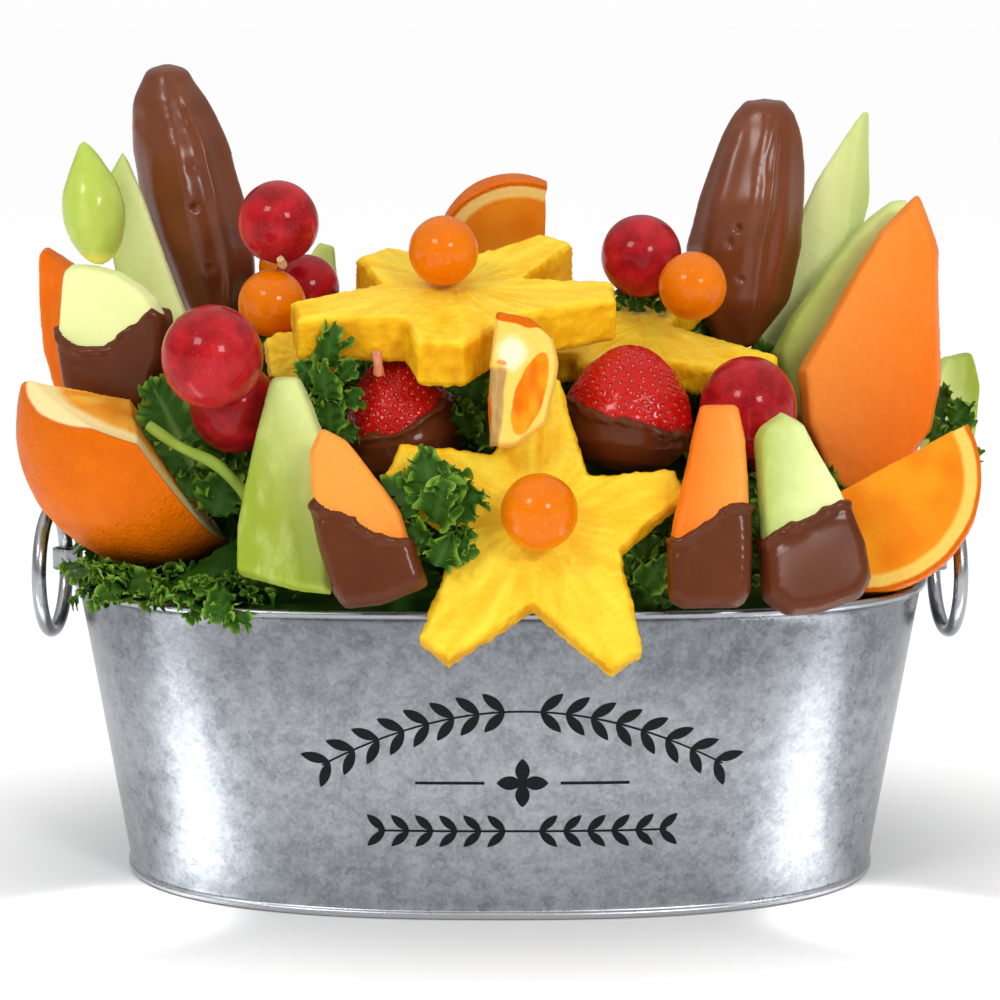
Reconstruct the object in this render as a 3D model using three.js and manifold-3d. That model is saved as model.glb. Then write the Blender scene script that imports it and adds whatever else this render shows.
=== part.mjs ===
// Fruit bouquet in a galvanised oval tub with two ring handles.
// Millimetres, +Z up, +X to the right, the front of the bouquet faces -Y.
// The origin is the middle of the tub's flat underside.
import * as THREE from 'three';
import { mergeVertices } from 'three/addons/utils/BufferGeometryUtils.js';
import { ConvexGeometry } from 'three/addons/geometries/ConvexGeometry.js';
import Module from 'manifold-3d';

const wasm = await Module();
wasm.setup();

// ---- driving dimensions --------------------------------------------------
const GAP = 0.35;                  // clearance between touching pieces
const TUB_HEIGHT = 95.3;
const RIM_HALF = { x: 130, y: 80.3, roundness: 3.2 };
const BASE_HALF = { x: 115.4, y: 66.5, roundness: 2.47 };
const WALL = 1.0;                  // sheet thickness
const BEAD = { out: 1.2, low: 2.6, mid: 1.8, high: 0.7, lap: 0.2 };     // rolled rim: reach, and depths below the top
const FOOT_BEAD = { height: 3.2, out: 0.9, edge: 0.9, under: 0.8 };
const FLOOR_TOP = 1.6;
const TUB_SIDES = 48;
const RING = { radius: 18.4, wire: 2.15, height: 95.2, rest: 4, side: 134.9 };
const EYE = { inner: 2.95, outer: 4.3, height: 6.5 };
const EAR = { width: 9, low: 79, high: 91.5, thick: 1.4, bend: 2.4, flare: 1.2, toe: 0.6 };
const ORANGE_RADIUS = 41;
const STAR_THICK = 11.5;
const CHOCOLATE = 1.6;             // thickness of the dipped coat

// ---- finishes --------------------------------------------------------------
const finish = (color, roughness, metalness = 0) =>
  new THREE.MeshStandardMaterial({ color, roughness, metalness });
const FINISH = {
  galvanised: finish(0x9aa3ab, 0.42, 1),
  steelWire: finish(0xa9adb2, 0.25, 1),
  kale: finish(0x2f7d28, 0.55),
  orange: finish(0xff8a0f, 0.4),
  pineapple: finish(0xffcf1f, 0.45),
  goldenBerry: finish(0xff8c12, 0.18),
  redGrape: finish(0xa8182f, 0.25),
  greenGrape: finish(0xa9cf4a, 0.25),
  chocolate: finish(0x5a2c1c, 0.3),
  strawberry: finish(0xd3141a, 0.3),
  honeydew: finish(0xc3de7d, 0.35),
  cantaloupe: finish(0xff8930, 0.35),
  wood: finish(0xd9b98a, 0.7),
};

// ---- solids ------------------------------------------------------------------
const radians = THREE.MathUtils.degToRad;
const v3 = (x, y, z) => new THREE.Vector3(x, y, z);

function welded(geometry) {
  const bare = geometry.index ? geometry.toNonIndexed() : geometry.clone();
  for (const name of Object.keys(bare.attributes)) {
    if (name !== 'position') bare.deleteAttribute(name);
  }
  return mergeVertices(bare, 1e-4);
}

function toSolid(geometry) {
  const g = welded(geometry);
  return new wasm.Manifold(new wasm.Mesh({
    numProp: 3,
    vertProperties: new Float32Array(g.attributes.position.array),
    triVerts: new Uint32Array(g.index.array),
  }));
}

function toGeometry(solid) {
  const mesh = solid.getMesh();
  const geometry = new THREE.BufferGeometry();
  geometry.setAttribute('position', new THREE.BufferAttribute(new Float32Array(mesh.vertProperties), 3));
  geometry.setIndex(new THREE.BufferAttribute(new Uint32Array(mesh.triVerts), 1));
  return geometry;
}

// A closed skin over rings of equally many points, each end closed on its middle point;
// every four-cornered patch is split along its shorter diagonal.
function loft(rings, startTip, endTip) {
  const count = rings[0].length;
  const middle = (ring) => ring.reduce((sum, p) => sum.add(p), v3(0, 0, 0)).divideScalar(count);
  const points = [startTip ?? middle(rings[0]), endTip ?? middle(rings.at(-1)), ...rings.flat()];
  const at = (ring, i) => 2 + ring * count + (i % count);
  const faces = [];
  for (let i = 0; i < count; i++) {
    faces.push(0, at(0, i + 1), at(0, i));
    faces.push(1, at(rings.length - 1, i), at(rings.length - 1, i + 1));
    for (let r = 0; r + 1 < rings.length; r++) {
      const [a, b, c, d] = [at(r, i), at(r, i + 1), at(r + 1, i + 1), at(r + 1, i)];
      const shortAC = points[a].distanceTo(points[c]) < points[b].distanceTo(points[d]);
      faces.push(...(shortAC ? [a, b, c, a, c, d] : [a, b, d, b, c, d]));
    }
  }
  const geometry = new THREE.BufferGeometry().setFromPoints(points);
  geometry.setIndex(faces);
  return geometry;
}

// The same solid scaled about the middle of its box so that each side moves out by `by`.
function grown(geometry, by) {
  const g = geometry.clone();
  g.computeBoundingBox();
  const size = g.boundingBox.getSize(v3());
  const middle = g.boundingBox.getCenter(v3());
  g.translate(-middle.x, -middle.y, -middle.z);
  g.scale(1 + 2 * by / size.x, 1 + 2 * by / size.y, 1 + 2 * by / size.z);
  return g.translate(middle.x, middle.y, middle.z);
}

// Everything on the side of a plane that its normal points to.
function beyond(point, normal) {
  const reach = 300;
  const block = new THREE.BoxGeometry(reach, reach, reach).translate(0, 0, reach / 2);
  const turn = new THREE.Quaternion().setFromUnitVectors(v3(0, 0, 1), normal.clone().normalize());
  return toSolid(block.applyQuaternion(turn).translate(point.x, point.y, point.z));
}

// ---- the scene graph ------------------------------------------------------------
const bouquet = new THREE.Group();

function add(name, geometry, material, at = [0, 0, 0]) {
  const mesh = new THREE.Mesh(geometry, material);
  mesh.name = name;
  mesh.position.set(...at);
  bouquet.add(mesh);
  return mesh;
}

// Stands a piece drawn in X (across), Y (up) and Z (towards the viewer) on the bouquet:
// `face` turns it about the upright, `lean` tips its top back, `roll` turns it in its own plane.
function stand(mesh, { face = 0, lean = 0, roll = 0 }) {
  mesh.rotation.order = 'ZXY';
  mesh.quaternion
    .setFromAxisAngle(v3(0, 0, 1), radians(face))
    .multiply(new THREE.Quaternion().setFromAxisAngle(v3(1, 0, 0), radians(90 - lean)))
    .multiply(new THREE.Quaternion().setFromAxisAngle(v3(0, 0, 1), radians(roll)));
  return mesh;
}

// The mesh as a solid in the bouquet's frame, with `by` millimetres of room around it.
function inPlace(mesh, by = 0) {
  mesh.updateMatrixWorld(true);
  const source = by ? grown(mesh.geometry, by) : mesh.geometry.clone();
  return toSolid(source.applyMatrix4(mesh.matrixWorld));
}

// ---- tub -------------------------------------------------------------------------
const mix = (a, b, t) => a + (b - a) * t;

// The oval at height z, moved out by `out`; a rounded rectangle near the rim, an ellipse lower.
function oval(z, out = 0, scale = 1) {
  const t = z / TUB_HEIGHT;
  const power = mix(BASE_HALF.roundness, RIM_HALF.roundness, Math.min(t, 1));
  const a = mix(BASE_HALF.x, RIM_HALF.x - BEAD.out, Math.min(t, 1)) + out;
  const b = mix(BASE_HALF.y, RIM_HALF.y - BEAD.out, Math.min(t, 1)) + out;
  return Array.from({ length: TUB_SIDES }, (_, i) => {
    const angle = 2 * Math.PI * i / TUB_SIDES;
    const c = Math.cos(angle);
    const s = Math.sin(angle);
    const radius = scale / (Math.abs(c / a) ** power + Math.abs(s / b) ** power) ** (1 / power);
    return v3(radius * c, radius * s, z);
  });
}

function tubGeometry() {
  const foot = FOOT_BEAD;
  const round = BEAD.high + BEAD.lap;
  return loft([
    oval(0, -foot.under),
    oval(foot.edge, foot.out),
    oval(foot.height - foot.edge, foot.out),
    oval(foot.height, 0),
    oval(TUB_HEIGHT - BEAD.low, 0),
    oval(TUB_HEIGHT - BEAD.mid, BEAD.out),
    oval(TUB_HEIGHT - BEAD.high, BEAD.out),
    oval(TUB_HEIGHT, BEAD.out - round),
    oval(TUB_HEIGHT, -0.9 * WALL),
    oval(TUB_HEIGHT - round, -1.5 * WALL),
    oval(TUB_HEIGHT - BEAD.low, -WALL),
    oval(FLOOR_TOP, -WALL),
  ], v3(0, 0, 0), v3(0, 0, FLOOR_TOP));
}

add('tub', tubGeometry(), FINISH.galvanised);

// An ear is a bent strap on the tub's end whose rolled eye holds the ring.
function earGeometry(side) {
  const wallAt = (z) => mix(BASE_HALF.x, RIM_HALF.x - BEAD.out, z / TUB_HEIGHT) + GAP;
  const { width, low, high, thick, bend, flare, toe } = EAR;
  const clear = RIM_HALF.x + GAP;
  const top = RING.height + EYE.height / 2;
  const strap = new THREE.Shape([
    new THREE.Vector2(wallAt(low), low),
    new THREE.Vector2(wallAt(low) + thick, low - toe),
    new THREE.Vector2(wallAt(high) + thick + flare, high - bend),
    new THREE.Vector2(RING.side, top - EYE.height),
    new THREE.Vector2(RING.side, top),
    new THREE.Vector2(clear, top),
    new THREE.Vector2(clear, high),
    new THREE.Vector2(wallAt(high), high),
  ]);
  const plate = new THREE.ExtrudeGeometry(strap, { depth: width, bevelEnabled: false, steps: 1 });
  plate.translate(0, 0, -width / 2).rotateX(Math.PI / 2);
  const half = EYE.height / 2;
  const eye = new THREE.LatheGeometry([
    new THREE.Vector2(0, -half), new THREE.Vector2(EYE.outer, -half),
    new THREE.Vector2(EYE.outer, half), new THREE.Vector2(0, half),
  ], 16);
  eye.rotateX(Math.PI / 2).translate(RING.side, 0, RING.height);
  const hole = new THREE.CylinderGeometry(EYE.inner, EYE.inner, 3 * EYE.height, 16);
  hole.rotateX(Math.PI / 2).translate(RING.side, 0, RING.height);
  const ear = toGeometry(toSolid(plate).add(toSolid(eye)).subtract(toSolid(hole)));
  return side < 0 ? ear.rotateZ(Math.PI) : ear;
}

function ringMesh(name, side) {
  const geometry = new THREE.TorusGeometry(RING.radius, RING.wire, 8, 24);
  geometry.rotateY(Math.PI / 2).translate(0, -RING.radius, 0);
  const ring = add(name, geometry, FINISH.steelWire, [side * RING.side, 0, RING.height]);
  ring.rotation.z = side * radians(RING.rest);
  return ring;
}

add('ear_left', earGeometry(-1), FINISH.galvanised);
add('ear_right', earGeometry(1), FINISH.galvanised);
ringMesh('ring_left', -1);
ringMesh('ring_right', 1);

// ---- round fruit -------------------------------------------------------------------
function roundFruit(name, material, at, radius, { long = 1, turn = [0, 0, 0] } = {}) {
  const geometry = new THREE.SphereGeometry(radius, 11, 7).rotateX(Math.PI / 2).scale(1, 1, long);
  const mesh = add(name, geometry, material, at);
  mesh.rotation.set(...turn.map(radians));
  return mesh;
}

const berry = (name, at, radius) =>
  roundFruit(`golden_berry_${name}`, FINISH.goldenBerry, at, radius, { long: 0.96 });
const grape = (name, at, radius, turn) =>
  roundFruit(`red_grape_${name}`, FINISH.redGrape, at, radius, { long: 1.03, turn });

const berries = [
  berry('front', [11.1, -92.1, 126.2], 10.9),
  berry('top', [-16.2, -41.6, 194.2], 10.3),
  berry('left', [-67.4, -27, 177.4], 10.2),
  berry('right', [57.4, -25, 182.3], 10.3),
  berry('back', [-67.6, 18, 184.2], 7.6),
];

const grapes = [
  grape('upper_left', [-65.6, -22, 201], 11.9, [0, 20, 0]),
  grape('behind_left', [-59.4, -3, 179.5], 10, [0, 60, 0]),
  grape('front_left', [-80.9, -70, 166.6], 14.3, [30, 20, 0]),
  grape('low_left', [-77.2, -44.8, 148.8], 12.9, [0, -30, 0]),
  grape('upper_right', [43.1, -3, 189.5], 12, [0, -30, 0]),
  grape('front_right', [72.6, -47, 149], 14.4, [20, 0, 0]),
  grape('low_right', [81.5, -24, 135.5], 10.2, [0, 0, 0]),
];

// A pointed green grape: a teardrop of revolution.
function greenGrape() {
  const length = 37;
  const radius = 9.2;
  const steps = 7;
  const profile = Array.from({ length: steps + 1 }, (_, i) => {
    const t = i / steps;
    const girth = Math.sin(Math.PI * t) ** 0.62 * (1 - 0.42 * t ** 2);
    return new THREE.Vector2(i % steps ? radius * 1.13 * girth : 0, t * length);
  });
  const mesh = add('green_grape', new THREE.LatheGeometry(profile, 10), FINISH.greenGrape, [-120, -12, 187.6]);
  return stand(mesh, { roll: 7 });
}

// ---- pineapple ---------------------------------------------------------------------
// A star cut from a pineapple slice; each arm is [direction in degrees, length]. ROUNDED is
// how far the sides of the arms draw in at the eased edge, as shares of the edge.
const ROUNDED = { tip: 0.7, notch: 0.6 };

function starGeometry({ arms, waist, tip, thick = STAR_THICK, edge = 1.6 }) {
  const ringAt = (z, inset) => arms.flatMap(([angle, length], i) => {
    const next = arms[(i + 1) % arms.length][0];
    const halfGap = (((next - angle) % 360) + 360) % 360 / 2;
    const a = radians(angle);
    const spread = Math.asin((tip / 2 - inset * ROUNDED.tip) / length);
    const notch = radians(angle + halfGap);
    return [
      v3(Math.cos(a - spread), Math.sin(a - spread), 0).multiplyScalar(length - inset).setZ(z),
      v3(Math.cos(a + spread), Math.sin(a + spread), 0).multiplyScalar(length - inset).setZ(z),
      v3(Math.cos(notch), Math.sin(notch), 0).multiplyScalar(waist - inset * ROUNDED.notch).setZ(z),
    ];
  });
  const half = thick / 2;
  return loft([ringAt(-half, edge), ringAt(-half + edge, 0), ringAt(half - edge, 0), ringAt(half, edge)]);
}

const stars = [
  stand(add('pineapple_star_front', starGeometry({
    arms: [[19, 43], [89, 44], [156, 46], [231, 47.5], [301, 47]], waist: 24, tip: 10.5,
  }), FINISH.pineapple, [11.2, -76.4, 119.1]), { lean: 27 }),
  stand(add('pineapple_star_top', starGeometry({
    arms: [[194, 48], [264, 34.5], [3, 47], [53, 51], [130, 40]], waist: 22.5, tip: 13, thick: 14.5,
  }), FINISH.pineapple, [-13.1, -39.7, 175.3]), { lean: 71 }),
  stand(add('pineapple_star_low', starGeometry({
    arms: [[337, 51], [50, 38], [122, 34], [197, 30], [258, 22]], waist: 18, tip: 14, thick: 11,
  }), FINISH.pineapple, [34.5, -7, 162.3]), { lean: 66 }),
];

// ---- cut chunks of melon, orange and pineapple ---------------------------------------
// A chunk is the hull of a front outline, a back outline drawn in by `taper`, and loose
// `ridge` points; outlines run in the chunk's own plane.
function chunkGeometry({ outline, thick, taper = 0.82, shift = [0, 0], ridge = [] }) {
  const half = thick / 2;
  const across = outline.reduce((s, p) => s + p[0], 0) / outline.length;
  const up = outline.reduce((s, p) => s + p[1], 0) / outline.length;
  const points = ridge.map((p) => v3(...p));
  for (const [u, v] of outline) {
    points.push(v3(u, v, half * 0.35));
    points.push(v3(across + (u - across) * 0.9, up + (v - up) * 0.94, half));
    points.push(v3(across + (u - across) * taper + shift[0], up + (v - up) * taper + shift[1], -half));
  }
  return new ConvexGeometry(points);
}

function chunk(name, material, at, pose, shape) {
  return stand(add(name, chunkGeometry(shape), material, at), pose);
}

// A coat of chocolate on the part of a chunk below a line from `left` to `right` in its plane.
function dip(name, fruit, left, right) {
  const outer = toSolid(grown(fruit.geometry, CHOCOLATE + GAP));
  const inner = toSolid(grown(fruit.geometry, GAP));
  const above = v3(left[1] - right[1], right[0] - left[0], 0);
  const cut = beyond(v3(...left, 0), above);
  const coat = add(name, toGeometry(outer.subtract(cut).subtract(inner)), FINISH.chocolate);
  coat.position.copy(fruit.position);
  coat.quaternion.copy(fruit.quaternion);
  return coat;
}

const melons = [
  chunk('cantaloupe_slice_right', FINISH.cantaloupe, [113.1, -3, 160.7], { lean: 6 }, {
    outline: [[13.9, 47.1], [20.1, 30.4], [21.5, -9.2], [18.6, -24.5], [5, -43], [-5, -48],
      [-13, -41], [-20.5, -24], [-22.3, -6.7], [-16.8, 1.5], [-6.3, 18.3], [2.7, 36.5]],
    thick: 17, taper: 0.9,
  }),
  chunk('honeydew_slice_right', FINISH.honeydew, [112.5, 16, 158.4], { lean: 6 }, {
    outline: [[13.6, 46.6], [9.1, 46], [1.6, 40.3], [-9.5, 28], [-22, 9.9], [-27.4, -0.7],
      [-21, -22], [-2.7, -47], [9.8, -45.4], [24.5, -10.9], [22.5, 26]],
    thick: 14, taper: 0.85,
  }),
  chunk('honeydew_spear_right', FINISH.honeydew, [101.5, 35, 185], { face: -12, lean: 4 }, {
    outline: [[13.8, 47.1], [5.6, 34.5], [-1.1, 24.4], [-6.4, 11.7], [-19.4, -18.1], [-20.7, -27.5], [-18, -50],
      [-4, -52], [8.2, -12.5], [10.5, 13]],
    thick: 14, taper: 0.8, ridge: [[15.2, 19, -1], [13.6, 46, -3]],
  }),
  chunk('honeydew_bit_right', FINISH.honeydew, [140, 27, 140], { face: 10, lean: 4 }, {
    outline: [[-4.2, 6], [-0.2, 14.3], [9.1, 16], [11.8, 5.5], [10.5, -9], [7, -20], [-7, -22]], thick: 10,
  }),
  chunk('cantaloupe_slice_left', FINISH.cantaloupe, [-132.5, 11.8, 168.9], { face: -14 }, {
    outline: [[-9.5, 20.3], [-7.6, 22.5], [-0.5, 17.8], [9, 11], [10, -28], [-2, -32], [-8.6, -9.5]],
    thick: 12, taper: 0.85,
  }),
  chunk('honeydew_chunk_left', FINISH.honeydew, [-116.3, -10.6, 170.9], { face: -10, lean: 2 }, {
    outline: [[-14.9, 14.4], [-12.5, 16.7], [-5.9, 16.4], [3.2, 14], [9.6, 10.2], [13.6, 6.2], [17.4, -1.3],
      [16.4, -11.9], [12, -24], [6, -30], [-8.6, -30], [-14.2, -20.1], [-16.7, -3.5]],
    thick: 18, taper: 0.78,
  }),
  chunk('honeydew_sliver_left', FINISH.honeydew, [-110.8, 8, 193.3], { lean: 2 }, {
    outline: [[-4.6, 27], [-8.9, 19.6], [-9.8, 3.1], [-6.9, -12], [2.8, -32], [9.4, -40],
      [17, -39], [15, -25.3], [8.2, -7.7], [4.7, 2.8], [-0.3, 17]],
    thick: 9, taper: 0.8,
  }),
  chunk('honeydew_wedge_front', FINISH.honeydew, [-62.6, -68.5, 125.6], { face: -8, lean: 16 }, {
    outline: [[-3.1, 34.6], [4.2, 34.7], [7.3, 29], [14, 14.8], [17, -5.2], [16.5, -27],
      [7, -26.1], [-10.6, -22], [-11.2, -8.9], [-9.5, 2.6], [-6.2, 20]],
    thick: 15, taper: 0.84,
  }),
  chunk('cantaloupe_wedge_left', FINISH.cantaloupe, [-37.6, -89, 120.4], { face: 4, lean: 17 }, {
    outline: [[-11.8, 28.7], [-15, 22.3], [-14.6, 8.6], [-11.8, -5.2], [-8.2, -17], [-5.4, -21],
      [4.4, -20], [16.4, -15.6], [13.8, -7.8], [9.6, 5], [-5, 24.9]],
    thick: 14, taper: 0.8, shift: [1.5, 0],
  }),
  chunk('cantaloupe_wedge_right', FINISH.cantaloupe, [58.9, -86.2, 122.8], { lean: 16 }, {
    outline: [[-2.8, 31.8], [7, 31.8], [9.1, 22.5], [10, 5.4], [10.1, -10], [9.3, -20.6],
      [7, -23.6], [-8.6, -24], [-11.4, -21.8], [-11.6, -10], [-10.4, 0.4], [-4.9, 22.5]],
    thick: 14, taper: 0.84,
  }),
  chunk('honeydew_wedge_right', FINISH.honeydew, [85.3, -81.5, 122.1], { face: 8, lean: 16 }, {
    outline: [[-12, 26], [-5.7, 30.1], [-0.6, 27.2], [9.9, 6.8], [15.6, -7.5], [16.8, -17.2],
      [13.7, -22], [2.7, -25.4], [-6.4, -26.2], [-12.5, -22.2], [-13.2, -10], [-13.4, 6], [-13.6, 23]],
    thick: 15, taper: 0.8, shift: [1, 0],
  }),
  chunk('honeydew_bit_left', FINISH.honeydew, [-57, 30, 179], { lean: 5 }, {
    outline: [[-4.7, 5], [0, 11.6], [4.7, 10.6], [6.5, -12], [-6.5, -14]], thick: 9,
  }),
];
const melonNamed = (name) => melons.find((mesh) => mesh.name === name);

const coats = [
  dip('chocolate_honeydew_left', melonNamed('honeydew_chunk_left'), [-17, -3.5], [17, 1]),
  dip('chocolate_cantaloupe_left', melonNamed('cantaloupe_wedge_left'), [-15, 7], [14, -2.5]),
  dip('chocolate_cantaloupe_right', melonNamed('cantaloupe_wedge_right'), [-12, -6], [11, 5]),
  dip('chocolate_honeydew_right', melonNamed('honeydew_wedge_right'), [-14, -4], [12, 5]),
];

const chunks = [
  chunk('orange_wedge_middle', FINISH.orange, [6.1, -75.5, 161.1], { lean: 14 }, {
    outline: [[-7, 19], [2.2, 17.3], [8.6, 11.7], [10.3, 4.2], [9.5, -1.4], [6.8, -13],
      [-2.1, -19.6], [-9.6, -20], [-10.2, -5.6], [-8.6, 8.4]],
    thick: 11, taper: 0.85,
  }),
  chunk('pineapple_point_left', FINISH.pineapple, [-62.6, -33.6, 161.4], { lean: 20 }, {
    outline: [[-6.8, 4.9], [-3, 7], [8, 7.6], [15, 3], [14, -6], [1.6, -9], [-5.5, -7]], thick: 14,
  }),
];

// ---- orange wedges -----------------------------------------------------------------
// A lune of a ball: its core edge runs along Z through the origin, its peel looks along +X.
// `cut` trims it with a plane given by a point and a normal in the bouquet's frame.
function orangeWedge(name, { radius, spread, at, core, facing, cut }) {
  const rows = 9;
  const arcs = 6;
  const half = radians(spread) / 2;
  const rings = Array.from({ length: rows }, (_, r) => {
    const polar = Math.PI * (0.055 + 0.89 * r / (rows - 1));
    const z = -radius * Math.cos(polar);
    const reach = radius * Math.sin(polar);
    const arc = Array.from({ length: arcs + 1 }, (_, i) => {
      const a = mix(-half, half, i / arcs);
      return v3(reach * Math.cos(a), reach * Math.sin(a), z);
    });
    return [v3(0, 0, z), ...arc];
  });
  const ends = [v3(0.3, 0, -radius), v3(0.3, 0, radius)];
  const along = v3(...core).normalize();
  const out = v3(...facing).addScaledVector(along, -v3(...facing).dot(along)).normalize();
  const turn = new THREE.Quaternion().setFromRotationMatrix(
    new THREE.Matrix4().makeBasis(out, along.clone().cross(out), along));
  let geometry = loft(rings, ...ends);
  if (cut) {
    const undo = turn.clone().invert();
    const point = v3(...cut.point).sub(v3(...at)).applyQuaternion(undo);
    const normal = v3(...cut.normal).applyQuaternion(undo);
    geometry = toGeometry(toSolid(geometry).subtract(beyond(point, normal)));
  }
  const mesh = add(name, geometry, FINISH.orange, at);
  mesh.quaternion.copy(turn);
  return mesh;
}

const wedges = [
  orangeWedge('orange_wedge_left', {
    radius: ORANGE_RADIUS, spread: 66, at: [-104.7, -24, 139],
    core: [-0.558, 0, 0.829], facing: [-0.419, -0.863, -0.282],
    cut: { point: [-110.8, -24, 148.1], normal: [0.283, -0.133, 0.95] },
  }),
  orangeWedge('orange_wedge_right', {
    radius: 34.5, spread: 44, at: [106.4, -43.5, 127.4],
    core: [0.875, 0, 0.484], facing: [0.481, -0.1, -0.87],
  }),
  orangeWedge('orange_wedge_top', {
    radius: 24, spread: 58, at: [4.1, 20, 189.2],
    core: [0.94, 0, 0.34], facing: [-0.34, 0.05, 0.94],
    cut: { point: [14, 20, 189], normal: [1, 0, 0] },
  }),
];

// ---- chocolate bananas ---------------------------------------------------------------
// A half banana in chocolate: lofted sections along a bent middle line, each station
// being [height, offset across, half width].
const BANANA_SECTION = [[0, 1], [48, 0.9], [88, 1.02], [130, 0.9], [180, 1], [225, 0.92], [270, 0.96], [315, 0.92]];

function banana(name, at, pose, stations, depth) {
  const rings = stations.map(([height, across, half]) =>
    BANANA_SECTION.map(([angle, r]) => v3(
      across + half * r * Math.cos(radians(angle)),
      height,
      -half * depth * r * Math.sin(radians(angle)))));
  const [first, last] = [stations[0], stations.at(-1)];
  const mesh = add(name, loft(rings, v3(first[1], first[0] - 2, 0), v3(last[1], last[0] + 1.2, 0)),
    FINISH.chocolate, at);
  return stand(mesh, pose);
}

const bananas = [
  banana('banana_left', [-96.7, 24, 207.8], { lean: 3 }, [
    [-41, 6.6, 7], [-35, 6.8, 10.5], [-25, 5.8, 12.9], [-15.6, 3.4, 14.2], [-3, 0.4, 14.9],
    [12.4, -2.6, 13.8], [27.8, -6, 10.2], [34.5, -6.9, 6.6], [37, -6.6, 4],
  ], 0.95),
  banana('banana_right', [79.5, 21, 200.1], { lean: 3 }, [
    [-40, -5.5, 6], [-34, -5.2, 9.3], [-26, -4.6, 14.3], [-10, -3.7, 16.7], [4.7, -1.5, 15.6],
    [15.5, 0.2, 13.6], [26.3, 1.9, 10.8], [31.5, 2.6, 8.6], [34, 2.7, 5.2],
  ], 0.85),
];

// ---- strawberries in chocolate ----------------------------------------------------------
// A strawberry stands on its wide end with its point up; the coat covers the wide end.
const STRAWBERRY_PROFILE = [[0, 0], [0.62, 0.05], [0.93, 0.22], [1, 0.42], [0.86, 0.66], [0.55, 0.88], [0.22, 0.99], [0, 1]];

function strawberryGeometry(radius, height) {
  const profile = STRAWBERRY_PROFILE.map(([r, t]) => new THREE.Vector2(r * radius, (t - 0.5) * height));
  return new THREE.LatheGeometry(profile, 12);
}

function strawberry(side, at, pose, radius, height, left, right) {
  const fruit = stand(add(`strawberry_${side}`, strawberryGeometry(radius, height), FINISH.strawberry, at), pose);
  return [fruit, dip(`chocolate_strawberry_${side}`, fruit, left, right)];
}

const strawberries = [
  ...strawberry('left', [-29.6, -42.4, 144.4], { roll: 8, lean: -6 }, 16.8, 38.5, [-17, -2.5], [17, 5.5]),
  ...strawberry('right', [37.8, -44, 148.6], { roll: -6, lean: 8 }, 18.8, 36.5, [-19, 1.5], [19, -5.5]),
];

// ---- sticks ---------------------------------------------------------------------------
const stick = (name, at, length, radius, pose) =>
  stand(add(name, new THREE.CylinderGeometry(radius, radius, length, 8), FINISH.wood, at), pose);

const sticks = [
  stick('skewer_grape', [-64.2, -31.5, 189.9], 4, 1.3, { lean: -50, roll: 10 }),
  stick('skewer_strawberry', [-35.2, -56.8, 163.2], 7.5, 1.4, { lean: -14, roll: 6 }),
];

// ---- kale -------------------------------------------------------------------------------
const BANK = { top: 165, fall: 12, y: 31, depth: 35, half: 108 };
const DOME = { rise: 3, height: 38 };
const CREASE = { wide: 3.2, fine: 2.4 };
const SHOULDER = 0.985;
const FRILL = { round: 0.12, tall: 0.08, waves: 4 };
const LEAF_ROOM = 0.25;            // extra room between the packed leaves and the sheet
const ripple = (angle, count, phase) => Math.cos(count * angle + phase);

// The leaves swell a little over the rim along the back, away from the handles.
const SPILL = { low: 1.2, high: 2.2, out: 6.5, tall: 5, from: 18, to: 42, half: 112 };

function spilling(z, level) {
  return oval(TUB_HEIGHT, -WALL * 1.5 - GAP - LEAF_ROOM, SHOULDER).map((p) => {
    const back = THREE.MathUtils.smoothstep(p.y, SPILL.from, SPILL.to) / (1 + (p.x / SPILL.half) ** 12);
    const reach = 1 + back * (SPILL.out + WALL * 1.5) * level / Math.hypot(p.x, p.y);
    return v3(p.x * reach, p.y * reach, TUB_HEIGHT + z + (level < 1 ? back * SPILL.tall : 0));
  });
}

// The heap's top over a point at a share `rho` of the way from the middle to the rim: a low
// dome in front, and behind the middle a bank of standing leaves that backs the fruit.
function heapHeight(x, y, rho) {
  const angle = Math.atan2(y, x);
  const dome = TUB_HEIGHT + DOME.rise + DOME.height * (1 - rho ** 1.5);
  const bank = BANK.top - BANK.fall * (x / BANK.half) ** 2;
  const share = Math.exp(-(((y - BANK.y) / BANK.depth) ** 2)) / (1 + (Math.abs(x) / BANK.half) ** 12);
  const bumps = CREASE.wide * ripple(angle, 7, 0.6) * rho + CREASE.fine * ripple(angle, 12, 2.1) * rho ** 2;
  return mix(dome, bank, share * (1 - rho ** 9)) + bumps * (1 - 0.55 * rho ** 6);
}

function heapGeometry() {
  const inner = -WALL * 1.5 - GAP - LEAF_ROOM;
  const rings = [
    oval(FLOOR_TOP + GAP, inner), oval(TUB_HEIGHT - 4, inner), oval(TUB_HEIGHT, inner, SHOULDER),
    spilling(SPILL.low, 0.01), spilling(SPILL.low + 0.3, 1), spilling(SPILL.high, 0.8),
  ];
  for (const rho of [0.95, 0.84, 0.68, 0.5, 0.28]) {
    rings.push(oval(TUB_HEIGHT, inner, rho).map((p) => p.setZ(heapHeight(p.x, p.y, rho))));
  }
  return loft(rings, v3(0, 0, FLOOR_TOP + GAP), v3(0, 0, heapHeight(0, 0, 0)));
}

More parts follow.
